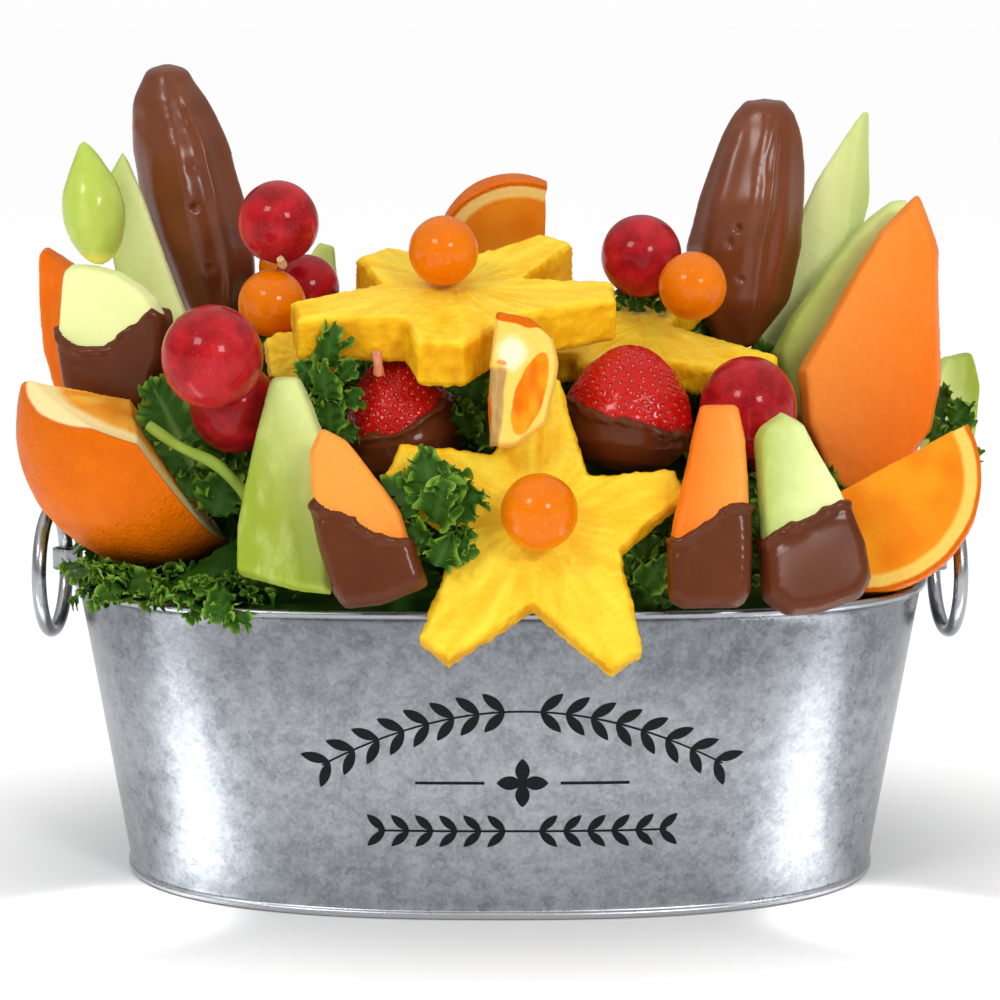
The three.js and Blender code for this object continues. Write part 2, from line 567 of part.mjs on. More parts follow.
// A sprig of curly kale as one closed lump with a frilled edge, hollowed where fruit presses in.
function sprig(name, at, half, { turn = 0, lean = 0, frills = 5, phase = 0 } = {}) {
  const geometry = new THREE.SphereGeometry(1, 9, 6).rotateX(Math.PI / 2);
  const position = geometry.attributes.position;
  for (let i = 0; i < position.count; i++) {
    const p = v3().fromBufferAttribute(position, i);
    const angle = Math.atan2(p.y, p.x);
    const level = 1 - p.z * p.z;
    const wave = FRILL.tall * Math.sin(FRILL.waves * p.z + phase);
    const frill = 1 + level * (FRILL.round * ripple(angle, frills, phase) + wave);
    position.setXYZ(i, p.x * frill * half[0], p.y * frill * half[1], p.z * half[2]);
  }
  const spot = new THREE.Object3D();
  spot.position.set(...at);
  spot.rotation.set(radians(-lean), 0, radians(turn), 'ZXY');
  spot.updateMatrixWorld(true);
  const placed = (g) => toSolid(g.clone().applyMatrix4(spot.matrixWorld));
  return { name, lump: placed(geometry), room: placed(grown(geometry, 2 * GAP)) };
}

const fruit = [
  ...berries, ...grapes, greenGrape(), ...stars, ...melons, ...coats, ...chunks, ...wedges,
  ...bananas, ...strawberries, ...sticks,
];

// The room a fruit takes in a soft lump; a hollow coat takes the room of its hull.
function roomFor(mesh) {
  const room = inPlace(mesh, GAP);
  return mesh.name.startsWith('chocolate') ? room.hull() : room;
}

// What is left of a soft lump once everything that presses into it is cut out of it.
function carved(lump, others) {
  const left = others.reduce((solid, mesh) => solid.subtract(roomFor(mesh)), lump);
  const [largest] = left.decompose().sort((a, b) => b.volume() - a.volume());
  return toGeometry(largest);
}

const sprigs = [
  sprig('kale_rim_left', [-108, -32, 103.5], [19.5, 27, 8.5], { turn: -26, frills: 7, phase: 1 }),
  sprig('kale_rim_front_left', [-80.5, -66.5, 100.6], [15, 8.5, 4.6], { turn: 14, frills: 5 }),
  sprig('kale_leaf_left', [-91, -40, 137.5], [12, 3.4, 17], { turn: -12, frills: 4, phase: 2 }),
  sprig('kale_sprig_strawberry', [-50, -59, 158.6], [8, 6.5, 15.5], { frills: 5, phase: 1.4 }),
  sprig('kale_sprig_front', [-20.5, -88.5, 125], [14.4, 4.6, 17.5], { lean: 26, frills: 5, phase: 0.4 }),
  sprig('kale_sprig_middle', [-8.4, -45, 150], [6.2, 7, 13.5], { frills: 5, phase: 3 }),
  sprig('kale_sprig_star', [41, -73.5, 108.4], [8.2, 5, 10.6], { lean: 20, frills: 5, phase: 2.2 }),
  sprig('kale_sprig_right', [140.5, -5, 137.5], [9.2, 8, 14.2], { frills: 6, phase: 0.8 }),
  sprig('kale_sprig_top', [42, 0, 176], [8.5, 6, 6.5], { frills: 5, phase: 1.7 }),
];
for (const { name, lump } of sprigs) add(name, carved(lump, fruit), FINISH.kale);

const bed = sprigs.reduce((solid, { room }) => solid.subtract(room), toSolid(heapGeometry()));
add('kale_heap', carved(bed, fruit), FINISH.kale);

export default bouquet;
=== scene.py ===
"""Looks of a fruit bouquet in a galvanised oval tub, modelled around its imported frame.

Everything is in metres in the frame's own axes: +Z up, +X along the tub, -Y the front.
"""
import math
from itertools import product

import bmesh
import bpy
import numpy as np
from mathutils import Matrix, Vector
from mathutils.bvhtree import BVHTree
from mathutils.kdtree import KDTree


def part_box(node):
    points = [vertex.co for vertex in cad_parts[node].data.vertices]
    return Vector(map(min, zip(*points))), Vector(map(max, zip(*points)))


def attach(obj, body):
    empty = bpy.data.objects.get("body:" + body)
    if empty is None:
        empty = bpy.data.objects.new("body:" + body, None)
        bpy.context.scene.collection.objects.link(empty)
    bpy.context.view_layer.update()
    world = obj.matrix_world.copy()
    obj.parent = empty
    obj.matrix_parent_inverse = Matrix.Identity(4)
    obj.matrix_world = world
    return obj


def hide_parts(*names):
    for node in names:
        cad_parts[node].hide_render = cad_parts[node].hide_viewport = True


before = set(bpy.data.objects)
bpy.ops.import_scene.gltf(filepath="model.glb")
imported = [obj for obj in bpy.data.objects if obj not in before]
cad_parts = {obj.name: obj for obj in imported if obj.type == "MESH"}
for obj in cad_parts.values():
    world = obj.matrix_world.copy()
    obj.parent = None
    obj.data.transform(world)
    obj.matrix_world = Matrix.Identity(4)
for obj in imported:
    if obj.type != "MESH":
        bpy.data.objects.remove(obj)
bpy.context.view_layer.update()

MM = 0.001
UP = np.array([0.0, 0.0, 1.0])


# ---- numbers ----------------------------------------------------------------------
def unit(vectors):
    """The vectors at length one."""
    return vectors / np.maximum(np.linalg.norm(vectors, axis=-1, keepdims=True), 1e-12)


def ramp(values, low, high):
    """0 below low, 1 above high and a smooth step between; low may be the larger."""
    t = np.clip((np.asarray(values) - low) / (high - low), 0, 1)
    return t * t * (3 - 2 * t)


def noise(points, size, seed=0):
    """Smooth noise from -1 to 1 at each point, its bumps about `size` wide."""
    place = np.asarray(points) / size + 31.7 * (seed + 1)
    cell = np.floor(place).astype(np.int64)
    part = place - cell
    part = part * part * (3 - 2 * part)
    total = np.zeros(len(place))
    for corner in product((0, 1), repeat=3):
        at = cell + np.array(corner)
        mixed = at[:, 0] * 374761393 + at[:, 1] * 668265263 + at[:, 2] * 2147483647 + seed * 144665
        mixed = (mixed ^ (mixed >> 13)) * 1274126177
        value = ((mixed ^ (mixed >> 16)) & 0xFFFFFF) / 0x7FFFFF - 1
        weight = np.prod(np.where(np.array(corner) == 1, part, 1 - part), axis=1)
        total += weight * value
    return total


def cloud(points, size, seed=0, octaves=3):
    """Noise with finer noise on top of it."""
    return sum(noise(points, size / 2**o, seed + o) / 1.8**o for o in range(octaves))


# ---- meshes -----------------------------------------------------------------------
def grid_faces(rows, cols, closed=False):
    """Quads over rows of points; a closed grid joins its last column to its first."""
    r, c = np.meshgrid(np.arange(rows - 1), np.arange(cols if closed else cols - 1), indexing="ij")
    after = (c + 1) % cols
    quads = [r * cols + c, r * cols + after, (r + 1) * cols + after, (r + 1) * cols + c]
    return np.stack(quads, axis=-1).reshape(-1, 4)


def linked(name, data):
    """A new object in the scene with this mesh, lamp or camera."""
    obj = bpy.data.objects.new(name, data)
    bpy.context.scene.collection.objects.link(obj)
    return obj


def shade_smooth(mesh):
    mesh.polygons.foreach_set("use_smooth", [True] * len(mesh.polygons))


def new_object(name, points, faces):
    mesh = bpy.data.meshes.new(name)
    mesh.from_pydata(np.asarray(points, float).tolist(), [], [list(map(int, face)) for face in faces])
    shade_smooth(mesh)
    return linked(name, mesh)


def coords(obj, kind="co"):
    """The points of a mesh, or with kind "normal" their normals."""
    flat = np.empty(len(obj.data.vertices) * 3, np.float32)
    obj.data.vertices.foreach_get(kind, flat)
    return flat.reshape(-1, 3).astype(float)


def normals(obj):
    return coords(obj, "normal")


def reshape(obj, points):
    obj.data.vertices.foreach_set("co", np.asarray(points, np.float32).ravel())
    obj.data.update()


def swell(obj, height):
    """Moves each point out along its normal."""
    reshape(obj, coords(obj) + normals(obj) * np.asarray(height)[:, None])


def paint(obj, name, values):
    """Stores a number at each point for the material to read."""
    layer = obj.data.attributes.get(name) or obj.data.attributes.new(name, "FLOAT", "POINT")
    layer.data.foreach_set("value", np.asarray(values, np.float32))


def joined(parts):
    """Several (points, faces, values) as one."""
    points, faces, values = [], [], []
    start = 0
    for part_points, part_faces, part_values in parts:
        points.append(part_points)
        faces.append(np.asarray(part_faces) + start)
        values.append(part_values)
        start += len(part_points)
    return np.concatenate(points), np.concatenate(faces), np.concatenate(values)


def applied(obj):
    """Bakes an object's modifiers into its mesh."""
    graph = bpy.context.evaluated_depsgraph_get()
    mesh = bpy.data.meshes.new_from_object(obj.evaluated_get(graph))
    obj.modifiers.clear()
    obj.data = mesh
    shade_smooth(mesh)
    return obj


def skin(name, node, voxel, rounding):
    """A fine closed skin over a CAD node, its edges softened by some smoothing passes."""
    shape = bmesh.new()
    shape.from_mesh(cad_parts[node].data)
    bmesh.ops.remove_doubles(shape, verts=shape.verts, dist=1e-6)
    mesh = bpy.data.meshes.new(name)
    shape.to_mesh(mesh)
    shape.free()
    mesh.materials.clear()
    obj = linked(name, mesh)
    remesh = obj.modifiers.new("skin", "REMESH")
    remesh.mode = "VOXEL"
    remesh.voxel_size = voxel
    soften = obj.modifiers.new("soften", "SMOOTH")
    soften.factor = 0.5
    soften.iterations = rounding
    return applied(obj)


def dress(obj, material, slot, *nodes, body="tub"):
    """Gives a piece its finish and its place in the frame."""
    obj.data.materials.clear()
    obj.data.materials.append(material)
    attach(obj, body)
    if nodes:
        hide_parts(*nodes)
    return obj


def middle(node):
    low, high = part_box(node)
    return np.array((low + high) / 2)


def half_size(node):
    low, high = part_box(node)
    return np.array((high - low) / 2)


def flat_axis(node):
    """The direction in which a slab is thinnest, pointing to the front or up."""
    points = np.array([v.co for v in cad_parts[node].data.vertices])
    spread = np.linalg.eigh(np.cov((points - points.mean(0)).T))[1]
    axis = spread[:, 0]
    return axis if axis @ np.array([0, -1, 1]) > 0 else -axis


# ---- materials --------------------------------------------------------------------
class Value:
    """A socket of a material; arithmetic on it adds Math nodes."""

    def __init__(self, finish, socket):
        self.finish = finish
        self.socket = socket

    def _math(self, operation, first, second):
        return self.finish.node("Math", {"operation": operation}, {0: first, 1: second})

    def __add__(self, other):
        return self._math("ADD", self, other)

    def __radd__(self, other):
        return self._math("ADD", other, self)

    def __sub__(self, other):
        return self._math("SUBTRACT", self, other)

    def __rsub__(self, other):
        return self._math("SUBTRACT", other, self)

    def __mul__(self, other):
        return self._math("MULTIPLY", self, other)

    def __rmul__(self, other):
        return self._math("MULTIPLY", other, self)


class Finish:
    """A procedural material built from expressions."""

    def __init__(self, name, **fixed):
        self.material = bpy.data.materials.new(name)
        self.material.use_nodes = True
        self.tree = self.material.node_tree
        self.shader = self.tree.nodes["Principled BSDF"]
        self.position = self.node("TexCoord", output="Object")
        for socket, value in fixed.items():
            self.shader.inputs[socket.replace("_", " ")].default_value = value

    def node(self, kind, settings=None, inputs=None, output=0):
        """Adds a node: its settings first, then the values or links of its sockets."""
        made = self.tree.nodes.new("ShaderNode" + kind)
        for key, value in (settings or {}).items():
            if key == "stops":
                self._set_stops(made.color_ramp, value)
            else:
                setattr(made, key, value)
        for key, value in (inputs or {}).items():
            self._feed(made.inputs[key], value)
        return Value(self, made.outputs[output])

    def _feed(self, socket, value):
        if isinstance(value, Value):
            self.tree.links.new(value.socket, socket)
        else:
            socket.default_value = value

    @staticmethod
    def _set_stops(band, stops):
        while len(band.elements) < len(stops):
            band.elements.new(0.5)
        for element, (place, colour) in zip(band.elements, stops):
            element.position = place
            element.color = (*colour, 1)

    def noise(self, size, detail=3, rough=0.55, stretch=None):
        """Noise from 0 to 1 with bumps about `size` metres wide."""
        place = self.position
        if stretch:
            place = self.node("Mapping", {}, {"Vector": place, "Scale": stretch})
        sockets = {"Vector": place, "Scale": 1 / size, "Detail": detail, "Roughness": rough}
        return self.node("TexNoise", {}, sockets, "Fac")

    def cells(self, size, output="Distance"):
        return self.node("TexVoronoi", {}, {"Vector": self.position, "Scale": 1 / size}, output)

    def painted(self, name):
        """The numbers that paint() stored on the mesh."""
        return self.node("Attribute", {"attribute_name": name}, {}, "Fac")

    def step(self, value, low, high):
        """0 below low, 1 above high, smooth between."""
        sockets = {"Value": value, "From Min": low, "From Max": high}
        return self.node("MapRange", {"interpolation_type": "SMOOTHSTEP"}, sockets)

    def blend(self, share, first, second):
        """From the first colour to the second."""
        sockets = {0: share, 6: self.colour(first), 7: self.colour(second)}
        return self.node("Mix", {"data_type": "RGBA"}, sockets, 2)

    @staticmethod
    def colour(value):
        return value if isinstance(value, Value) else (*value, 1)

    def bump(self, height, strength, distance):
        sockets = {"Height": height, "Strength": strength, "Distance": distance}
        return self.node("Bump", {}, sockets)

    def done(self, colour=None, roughness=None, normal=None, glow=None):
        feeds = {"Base Color": colour, "Roughness": roughness, "Normal": normal, "Emission Color": glow}
        for socket, value in feeds.items():
            if value is not None:
                self._feed(self.shader.inputs[socket], value)
        return self.material


def soft_light(finish, weight, depth, tint):
    """Light that enters the flesh and comes out near by."""
    finish.shader.inputs["Specular Tint"].default_value = (*(0.45 + 0.55 * c for c in tint), 1)
    finish.shader.inputs["Subsurface Weight"].default_value = weight
    finish.shader.inputs["Subsurface Scale"].default_value = depth
    finish.shader.inputs["Subsurface Radius"].default_value = tint


def galvanised():
    """Dull zinc: small crystals, cloudy stains and fine specks, with painted shade darkening it upwards and
    painted highlights brightening its beads.
    """
    f = Finish("galvanised_sheet", Metallic=1.0)
    spangle = f.node("SeparateColor", {}, {0: f.cells(0.0026, "Color")}, 0)
    haze = f.noise(0.024, 4, 0.6)
    stain = f.noise(0.006, 4, 0.65)
    speck = f.noise(0.0013, 4, 0.75)
    tone = spangle * 0.16 + haze * 0.45 + stain * 0.65 + speck * 0.9
    share = f.step(tone, 0.62, 1.56)
    height = f.node("SeparateXYZ", {}, {0: f.position}, 2)
    # Painted shade: the wall is darker from about half its height upwards and lighter below it.
    upper = f.blend(share, (0.110, 0.120, 0.134), (0.280, 0.296, 0.320))
    lower = f.blend(share, (0.195, 0.214, 0.236), (0.455, 0.479, 0.512))
    wall = f.blend(f.step(height, 0.045, 0.090), lower, upper)
    # Painted highlight: the rolled rim and the foot bead are lightened towards bright zinc.
    edge = f.step(height, 0.0927, 0.0933) * 0.55 + f.step(height, 0.0030, 0.0024)
    colour = f.blend(edge, wall, (0.48, 0.50, 0.525))
    roughness = 0.24 + share * 0.12
    return f.done(colour, roughness, f.bump(spangle * 0.3 + speck, 0.16, 0.0004))


def steel_wire():
    f = Finish("steel_wire", Metallic=1.0)
    draw = f.noise(0.004, 3, 0.6)
    colour = f.blend(draw, (0.28, 0.29, 0.305), (0.50, 0.515, 0.535))
    return f.done(colour, 0.2 + draw * 0.12, f.bump(draw, 0.05, 0.0003))


def black_ink():
    f = Finish("black_ink", Specular_IOR_Level=0.08)
    worn = f.noise(0.0012, 3, 0.6)
    return f.done(f.blend(worn, (0.004, 0.005, 0.006), (0.014, 0.015, 0.017)), 0.5)


def curly_kale():
    f = Finish("curly_kale", Specular_IOR_Level=0.22)
    soft_light(f, 0.1, 0.0012, (0.4, 1.0, 0.2))
    edge = f.painted("edge")
    tone = f.noise(0.014, 3)
    fine = f.noise(0.0016, 3, 0.6)
    # The deep green is the blade; the bright yellow-green, laid on by the edge share, is a painted highlight
    # on the curled margins and fold crests.
    deep = f.blend(tone, (0.011, 0.046, 0.003), (0.034, 0.115, 0.007))
    bright = f.blend(tone, (0.115, 0.27, 0.018), (0.28, 0.47, 0.050))
    blade = f.blend(f.step(edge + fine * 0.4, 0.30, 1.10), deep, bright)
    colour = f.blend(f.painted("vein") * 0.75, blade, (0.30, 0.46, 0.13))
    return f.done(colour, 0.36 + fine * 0.22, f.bump(fine + tone, 0.3, 0.0007))


def kale_stalk():
    f = Finish("kale_stalk", Specular_IOR_Level=0.15)
    tone = f.noise(0.006, 3)
    return f.done(f.blend(tone, (0.17, 0.27, 0.022), (0.35, 0.46, 0.070)), 0.4)


def orange_fruit():
    """Peel, pith and flesh by how deep under the peel each point lies."""
    f = Finish("orange_fruit", Specular_IOR_Level=0.08, Coat_Weight=0.06, Coat_Roughness=0.2)
    soft_light(f, 0.2, 0.003, (1.0, 0.3, 0.05))
    depth = f.painted("depth")
    pulp = f.painted("pulp")
    fine = f.noise(0.0013, 3, 0.6)
    peel = f.blend(f.noise(0.011, 3), (0.62, 0.105, 0.0005), (0.78, 0.175, 0.001))
    flesh = f.blend(f.step(pulp + fine * 0.3, 0.1, 1.1), (0.84, 0.150, 0.001), (0.98, 0.36, 0.012))
    flesh = f.blend(f.painted("pale") * 0.9, flesh, f.blend(pulp, (0.92, 0.40, 0.02), (1.0, 0.70, 0.14)))
    pith = f.blend(fine, (0.92, 0.52, 0.075), (0.98, 0.70, 0.17))
    pith = f.blend(f.painted("pale"), pith, (1.0, 0.90, 0.58))
    inner = f.step(depth + fine * 0.9, 4.6, 6.2)
    under = f.step(depth + fine * 0.3, 1.0, 1.9)
    dry = f.blend(f.noise(0.0012, 3, 0.6, (1, 1, 0.12)), (0.26, 0.12, 0.03), (0.72, 0.46, 0.17))
    cut = f.blend(f.painted("dry"), f.blend(inner, pith, flesh), dry)
    colour = f.blend(under, peel, cut)
    pores = f.step(f.cells(0.0017), 0.05, 0.55)
    height = pores * (1 - under) + fine * under * 0.8
    return f.done(colour, 0.32 + fine * 0.12, f.bump(height, 0.45, 0.0006))


def pineapple_flesh():
    f = Finish("pineapple_flesh", Specular_IOR_Level=0.14, Coat_Weight=0.08, Coat_Roughness=0.2)
    soft_light(f, 0.3, 0.004, (1.0, 0.5, 0.06))
    side = f.painted("side")
    fibre = f.painted("fibre")
    fine = f.noise(0.0013, 3, 0.65)
    tone = f.noise(0.012, 3)
    lit = f.step(fibre * 0.8 + fine * 0.6 + tone * 0.5, 0.35, 1.45)
    face = f.blend(lit, (0.90, 0.48, 0.006), (1.0, 0.74, 0.055))
    # Painted shade: the slice's sides get a darker amber than its faces.
    shaded_flank = f.blend(f.step(fibre + fine * 0.5, 0.2, 1.2), (0.72, 0.30, 0.002), (0.95, 0.56, 0.010))
    colour = f.blend(side, face, shaded_flank)
    return f.done(colour, 0.32 + fine * 0.2, f.bump(fibre * 0.6 + fine, 0.45, 0.0007))


def golden_berry():
    f = Finish("golden_berry", Specular_IOR_Level=0.06, Coat_Weight=0.32, Coat_Roughness=0.05)
    soft_light(f, 0.2, 0.003, (1.0, 0.25, 0.03))
    tone = f.noise(0.009, 3)
    speck = f.step(f.noise(0.0011, 2), 0.55, 0.75)
    skin_tone = f.blend(tone, (0.68, 0.130, 0.0005), (0.86, 0.225, 0.001))
    base = f.blend(speck * 0.2, skin_tone, (1.0, 0.42, 0.04))
    colour = f.blend(f.painted("scar"), base, (0.16, 0.07, 0.02))
    return f.done(colour, 0.2 + tone * 0.08, f.bump(speck, 0.06, 0.0003))


def red_grape():
    f = Finish("red_grape", Specular_IOR_Level=0.1, Coat_Weight=0.25, Coat_Roughness=0.07)
    soft_light(f, 0.2, 0.003, (1.0, 0.15, 0.1))
    tone = f.noise(0.008, 4, 0.6)
    bloom = f.step(f.noise(0.014, 4, 0.7), 0.46, 0.85)
    speck = f.step(f.noise(0.0009, 2), 0.62, 0.74)
    base = f.blend(f.step(tone, 0.3, 0.75), (0.26, 0.004, 0.007), (0.54, 0.012, 0.018))
    dusty = f.blend(bloom * 0.25, base, (0.58, 0.08, 0.09))
    skin_tone = f.blend(speck * 0.12, dusty, (0.66, 0.25, 0.22))
    colour = f.blend(f.painted("scar"), skin_tone, (0.22, 0.10, 0.05))
    return f.done(colour, 0.2 + bloom * 0.22, f.bump(speck, 0.05, 0.0003))


def green_grape():
    f = Finish("green_grape", Specular_IOR_Level=0.16, Coat_Weight=0.3, Coat_Roughness=0.08)
    soft_light(f, 0.3, 0.004, (0.7, 1.0, 0.2))
    tone = f.noise(0.008, 4, 0.6)
    veins = f.step(f.noise(0.004, 3, 0.5, (1, 1, 0.2)), 0.4, 0.8)
    base = f.blend(tone, (0.36, 0.50, 0.055), (0.55, 0.64, 0.11))
    streaked = f.blend(veins * 0.3, base, (0.68, 0.76, 0.26))
    colour = f.blend(f.painted("scar"), streaked, (0.85, 0.72, 0.14))
    return f.done(colour, 0.22 + tone * 0.1)


def chocolate(name, gloss, blur, dark=(0.078, 0.017, 0.0045), light=(0.140, 0.034, 0.009)):
    f = Finish(name, Specular_IOR_Level=0.10, Coat_Weight=gloss, Coat_Roughness=blur)
    soft_light(f, 0.05, 0.002, (1.0, 0.4, 0.2))
    tone = f.noise(0.014, 3)
    fine = f.noise(0.0022, 3, 0.6)
    colour = f.blend(tone, dark, light)
    return f.done(colour, 0.32 + tone * 0.14, f.bump(fine + tone * 2, 0.12, 0.0005))


def strawberry_skin():
    f = Finish("strawberry_skin", Specular_IOR_Level=0.1, Coat_Weight=0.4, Coat_Roughness=0.06)
    soft_light(f, 0.2, 0.003, (1.0, 0.12, 0.08))
    pit = f.painted("pit")
    tone = f.noise(0.007, 3)
    base = f.blend(tone, (0.40, 0.002, 0.002), (0.62, 0.009, 0.006))
    # Painted shade: the pits round the seeds are darkened.
    colour = f.blend(pit * 0.7, base, (0.24, 0.002, 0.002))
    return f.done(colour, 0.2 + tone * 0.1)


def strawberry_seed():
    f = Finish("strawberry_seed")
    tone = f.noise(0.001, 2)
    return f.done(f.blend(tone, (0.60, 0.22, 0.05), (0.86, 0.52, 0.18)), 0.3)


def melon(name, rind, pale, scatter):
    """Melon flesh from its rind side to its paler middle."""
    f = Finish(name, Specular_IOR_Level=0.12, Coat_Weight=0.08, Coat_Roughness=0.2)
    soft_light(f, 0.3, 0.004, scatter)
    fine = f.noise(0.0014, 3, 0.65)
    streak = f.noise(0.006, 4, 0.6, (1, 1, 0.35))
    share = f.step(f.painted("rind") + streak * 0.25 - 0.12, 0.0, 1.0)
    colour = f.blend(share, pale, rind)
    lighter = tuple(min(1.0, 1.06 * c + 0.03) for c in pale)
    mixed = f.blend(f.step(streak, 0.45, 0.8) * 0.3, colour, lighter)
    return f.done(mixed, 0.36 + fine * 0.22, f.bump(fine + streak * 1.5, 0.22, 0.0005))


def skewer_wood(name, dark, light):
    f = Finish(name)
    grain = f.noise(0.001, 3, 0.6, (1, 1, 0.15))
    return f.done(f.blend(grain, dark, light), 0.6)


FINISH = {
    "galvanised": galvanised(),
    "steel_wire": steel_wire(),
    "ink": black_ink(),
    "kale": curly_kale(),
    "stalk": kale_stalk(),
    "orange": orange_fruit(),
    "pineapple": pineapple_flesh(),
    "golden_berry": golden_berry(),
    "red_grape": red_grape(),
    "green_grape": green_grape(),
    "chocolate": chocolate("milk_chocolate", 0.3, 0.14),
    "glossy_chocolate": chocolate("glossy_chocolate", 0.7, 0.24,
                                  (0.115, 0.027, 0.007), (0.215, 0.054, 0.014)),
    "strawberry": strawberry_skin(),
    "seed": strawberry_seed(),
    "honeydew": melon("honeydew_flesh", (0.31, 0.40, 0.036), (0.84, 0.92, 0.42), (0.8, 1.0, 0.4)),
    "cantaloupe": melon("cantaloupe_flesh", (0.84, 0.160, 0.003), (0.98, 0.34, 0.055), (1.0, 0.35, 0.1)),
    "skewer_grape": skewer_wood("bare_skewer", (0.50, 0.28, 0.10), (0.78, 0.52, 0.26)),
    "skewer_strawberry": skewer_wood("stained_skewer", (0.66, 0.14, 0.06), (0.86, 0.36, 0.20)),
}


# ---- tub --------------------------------------------------------------------------
TUB = {
    "height": 95.3 * MM,
    "rim": (128.8 * MM, 79.1 * MM, 3.2),     # half length, half width, roundness of the oval
    "base": (115.4 * MM, 66.5 * MM, 2.47),
    "wall": 0.9 * MM,
    "sides": 320,
}


def wall_oval(share):
    """Half length, half width and roundness of the wall at a share of the tub's height."""
    return (low + (high - low) * share for low, high in zip(TUB["base"], TUB["rim"]))


def oval(z, out):
    """Points of the tub's oval at height z, moved out by `out`."""
    a, b, power = wall_oval(min(z / TUB["height"], 1))
    angle = np.linspace(0, 2 * math.pi, TUB["sides"], endpoint=False)
    c, s = np.cos(angle), np.sin(angle)
    radius = (np.abs(c / (a + out)) ** power + np.abs(s / (b + out)) ** power) ** (-1 / power)
    return np.stack([radius * c, radius * s, np.full_like(c, z)], axis=1)


def bead(z, out, radius, start, end, steps):
    """Stations around a half-round bead in the wall, as (height, out)."""
    angles = np.linspace(math.radians(start), math.radians(end), steps)
    return [(z + radius * math.sin(a), out + radius * math.cos(a)) for a in angles]


def make_tub():
    rim, foot = 1.35 * MM, 1.25 * MM
    top = TUB["height"]
    outer = [(0.25 * MM, -2.2 * MM), (0.0, -1.2 * MM)]
    outer += bead(foot + 0.1 * MM, -0.1 * MM, foot, -90, 80, 9)
    outer += [(3.3 * MM, 0.02 * MM), (4.2 * MM, -0.25 * MM), (6 * MM, 0.0)]
    outer += [(z, 0.0) for z in np.linspace(8 * MM, top - 4 * MM, 26)]
    outer += bead(top - rim, 0.25 * MM, rim, -70, 180, 15)
    inner = [(top - 2.6 * MM, -TUB["wall"]), (top - 6 * MM, -TUB["wall"])]
    inner += [(z, -TUB["wall"]) for z in np.linspace(top - 12 * MM, 2 * MM, 8)]
    stations = outer + inner
    rows = [oval(z, out) for z, out in stations]
    points = np.concatenate([*rows, [[0, 0, 0.25 * MM]], [[0, 0, 1.6 * MM]]])
    faces = [list(face) for face in grid_faces(len(rows), TUB["sides"], closed=True)]
    under, floor = len(points) - 2, len(points) - 1
    last = (len(rows) - 1) * TUB["sides"]
    for i in range(TUB["sides"]):
        after = (i + 1) % TUB["sides"]
        faces.append([under, after, i])
        faces.append([floor, last + i, last + after])
    obj = new_object("tub_sheet", points, faces)
    place = coords(obj)
    wave = 0.16 * MM * noise(place * [1, 1, 0.6], 34 * MM, 3)
    inside = ramp(place[:, 2], 6 * MM, 20 * MM) * ramp(place[:, 2], top - 4 * MM, top - 14 * MM)
    swell(obj, wave * inside)
    return dress(obj, FINISH["galvanised"], "galvanised", "tub")


def on_front(across, height):
    """Points on the front of the tub's wall, just clear of the sheet."""
    across, height = np.broadcast_arrays(np.asarray(across, float), np.asarray(height, float))
    a, b, power = wall_oval(height / TUB["height"])
    depth = b * (1 - (np.abs(across) / a) ** power) ** (1 / power)
    return np.stack([across, -depth - 0.12 * MM, height], axis=-1)


def printed_leaf(x, z, turn, length, width):
    """A pointed leaf drawn on the wall from (x, z): points, faces, zeros."""
    share, way = np.meshgrid(np.linspace(0, 1, 13), np.array([-1.0, 0.0, 1.0]), indexing="ij")
    along = length * share
    across = way * width / 2 * np.sin(math.pi * share) ** 0.8
    c, s = math.cos(turn), math.sin(turn)
    points = on_front(x + along * c - across * s, z + along * s + across * c).reshape(-1, 3)
    return points, grid_faces(13, 3), np.zeros(len(points))


def printed_line(xs, zs, width):
    """A line drawn on the wall through many points: points, faces, zeros."""
    slope = unit(np.stack([np.gradient(xs), np.gradient(zs)], axis=1))
    side = np.stack([-slope[:, 1], slope[:, 0]], axis=1) * width / 2
    rows = [on_front(xs - side[:, 0], zs - side[:, 1]), on_front(xs + side[:, 0], zs + side[:, 1])]
    points = np.stack(rows, axis=1).reshape(-1, 3)
    return points, grid_faces(len(xs), 2), np.zeros(len(points))


def printed_garland(centre, half, base, rise, pairs, size):
    """A stem with paired leaves growing from its middle outwards."""
    xs = np.linspace(-half, half, 61)
    zs = base + rise * (1 - (xs / half) ** 2)
    parts = [printed_line(xs + centre, zs, 0.55 * MM)]
    for i in range(pairs):
        for hand in (-1, 1):
            x = hand * half * (i + 0.7) / pairs
            z = base + rise * (1 - (x / half) ** 2)
            ahead = math.atan2(-2 * rise * x / half**2 * hand, hand)
            for open_angle in (-0.75, 0.75):
                parts.append(printed_leaf(x + centre, z, ahead + open_angle, size, size * 0.36))
    return parts


def make_ornament():
    """A plain printed ornament: an arched garland, a small flower between two lines, a straight one."""
    centre = 6.5 * MM
    parts = printed_garland(centre, 58 * MM, 48 * MM, 17 * MM, 8, 8.6 * MM)
    for hand in (-1, 1):
        ends = np.linspace(11 * MM, 31 * MM, 9) * hand + centre
        parts.append(printed_line(ends, np.full(9, 43 * MM), 0.8 * MM))
    for turn in (0, math.pi / 2, math.pi, -math.pi / 2):
        parts.append(printed_leaf(centre, 43 * MM, turn, 7.5 * MM, 4.2 * MM))
    parts += printed_garland(centre, 42 * MM, 28 * MM, 0, 6, 7.2 * MM)
    points, faces, _ = joined(parts)
    obj = new_object("tub_ornament", points, faces)
    return dress(obj, FINISH["ink"], "galvanised")


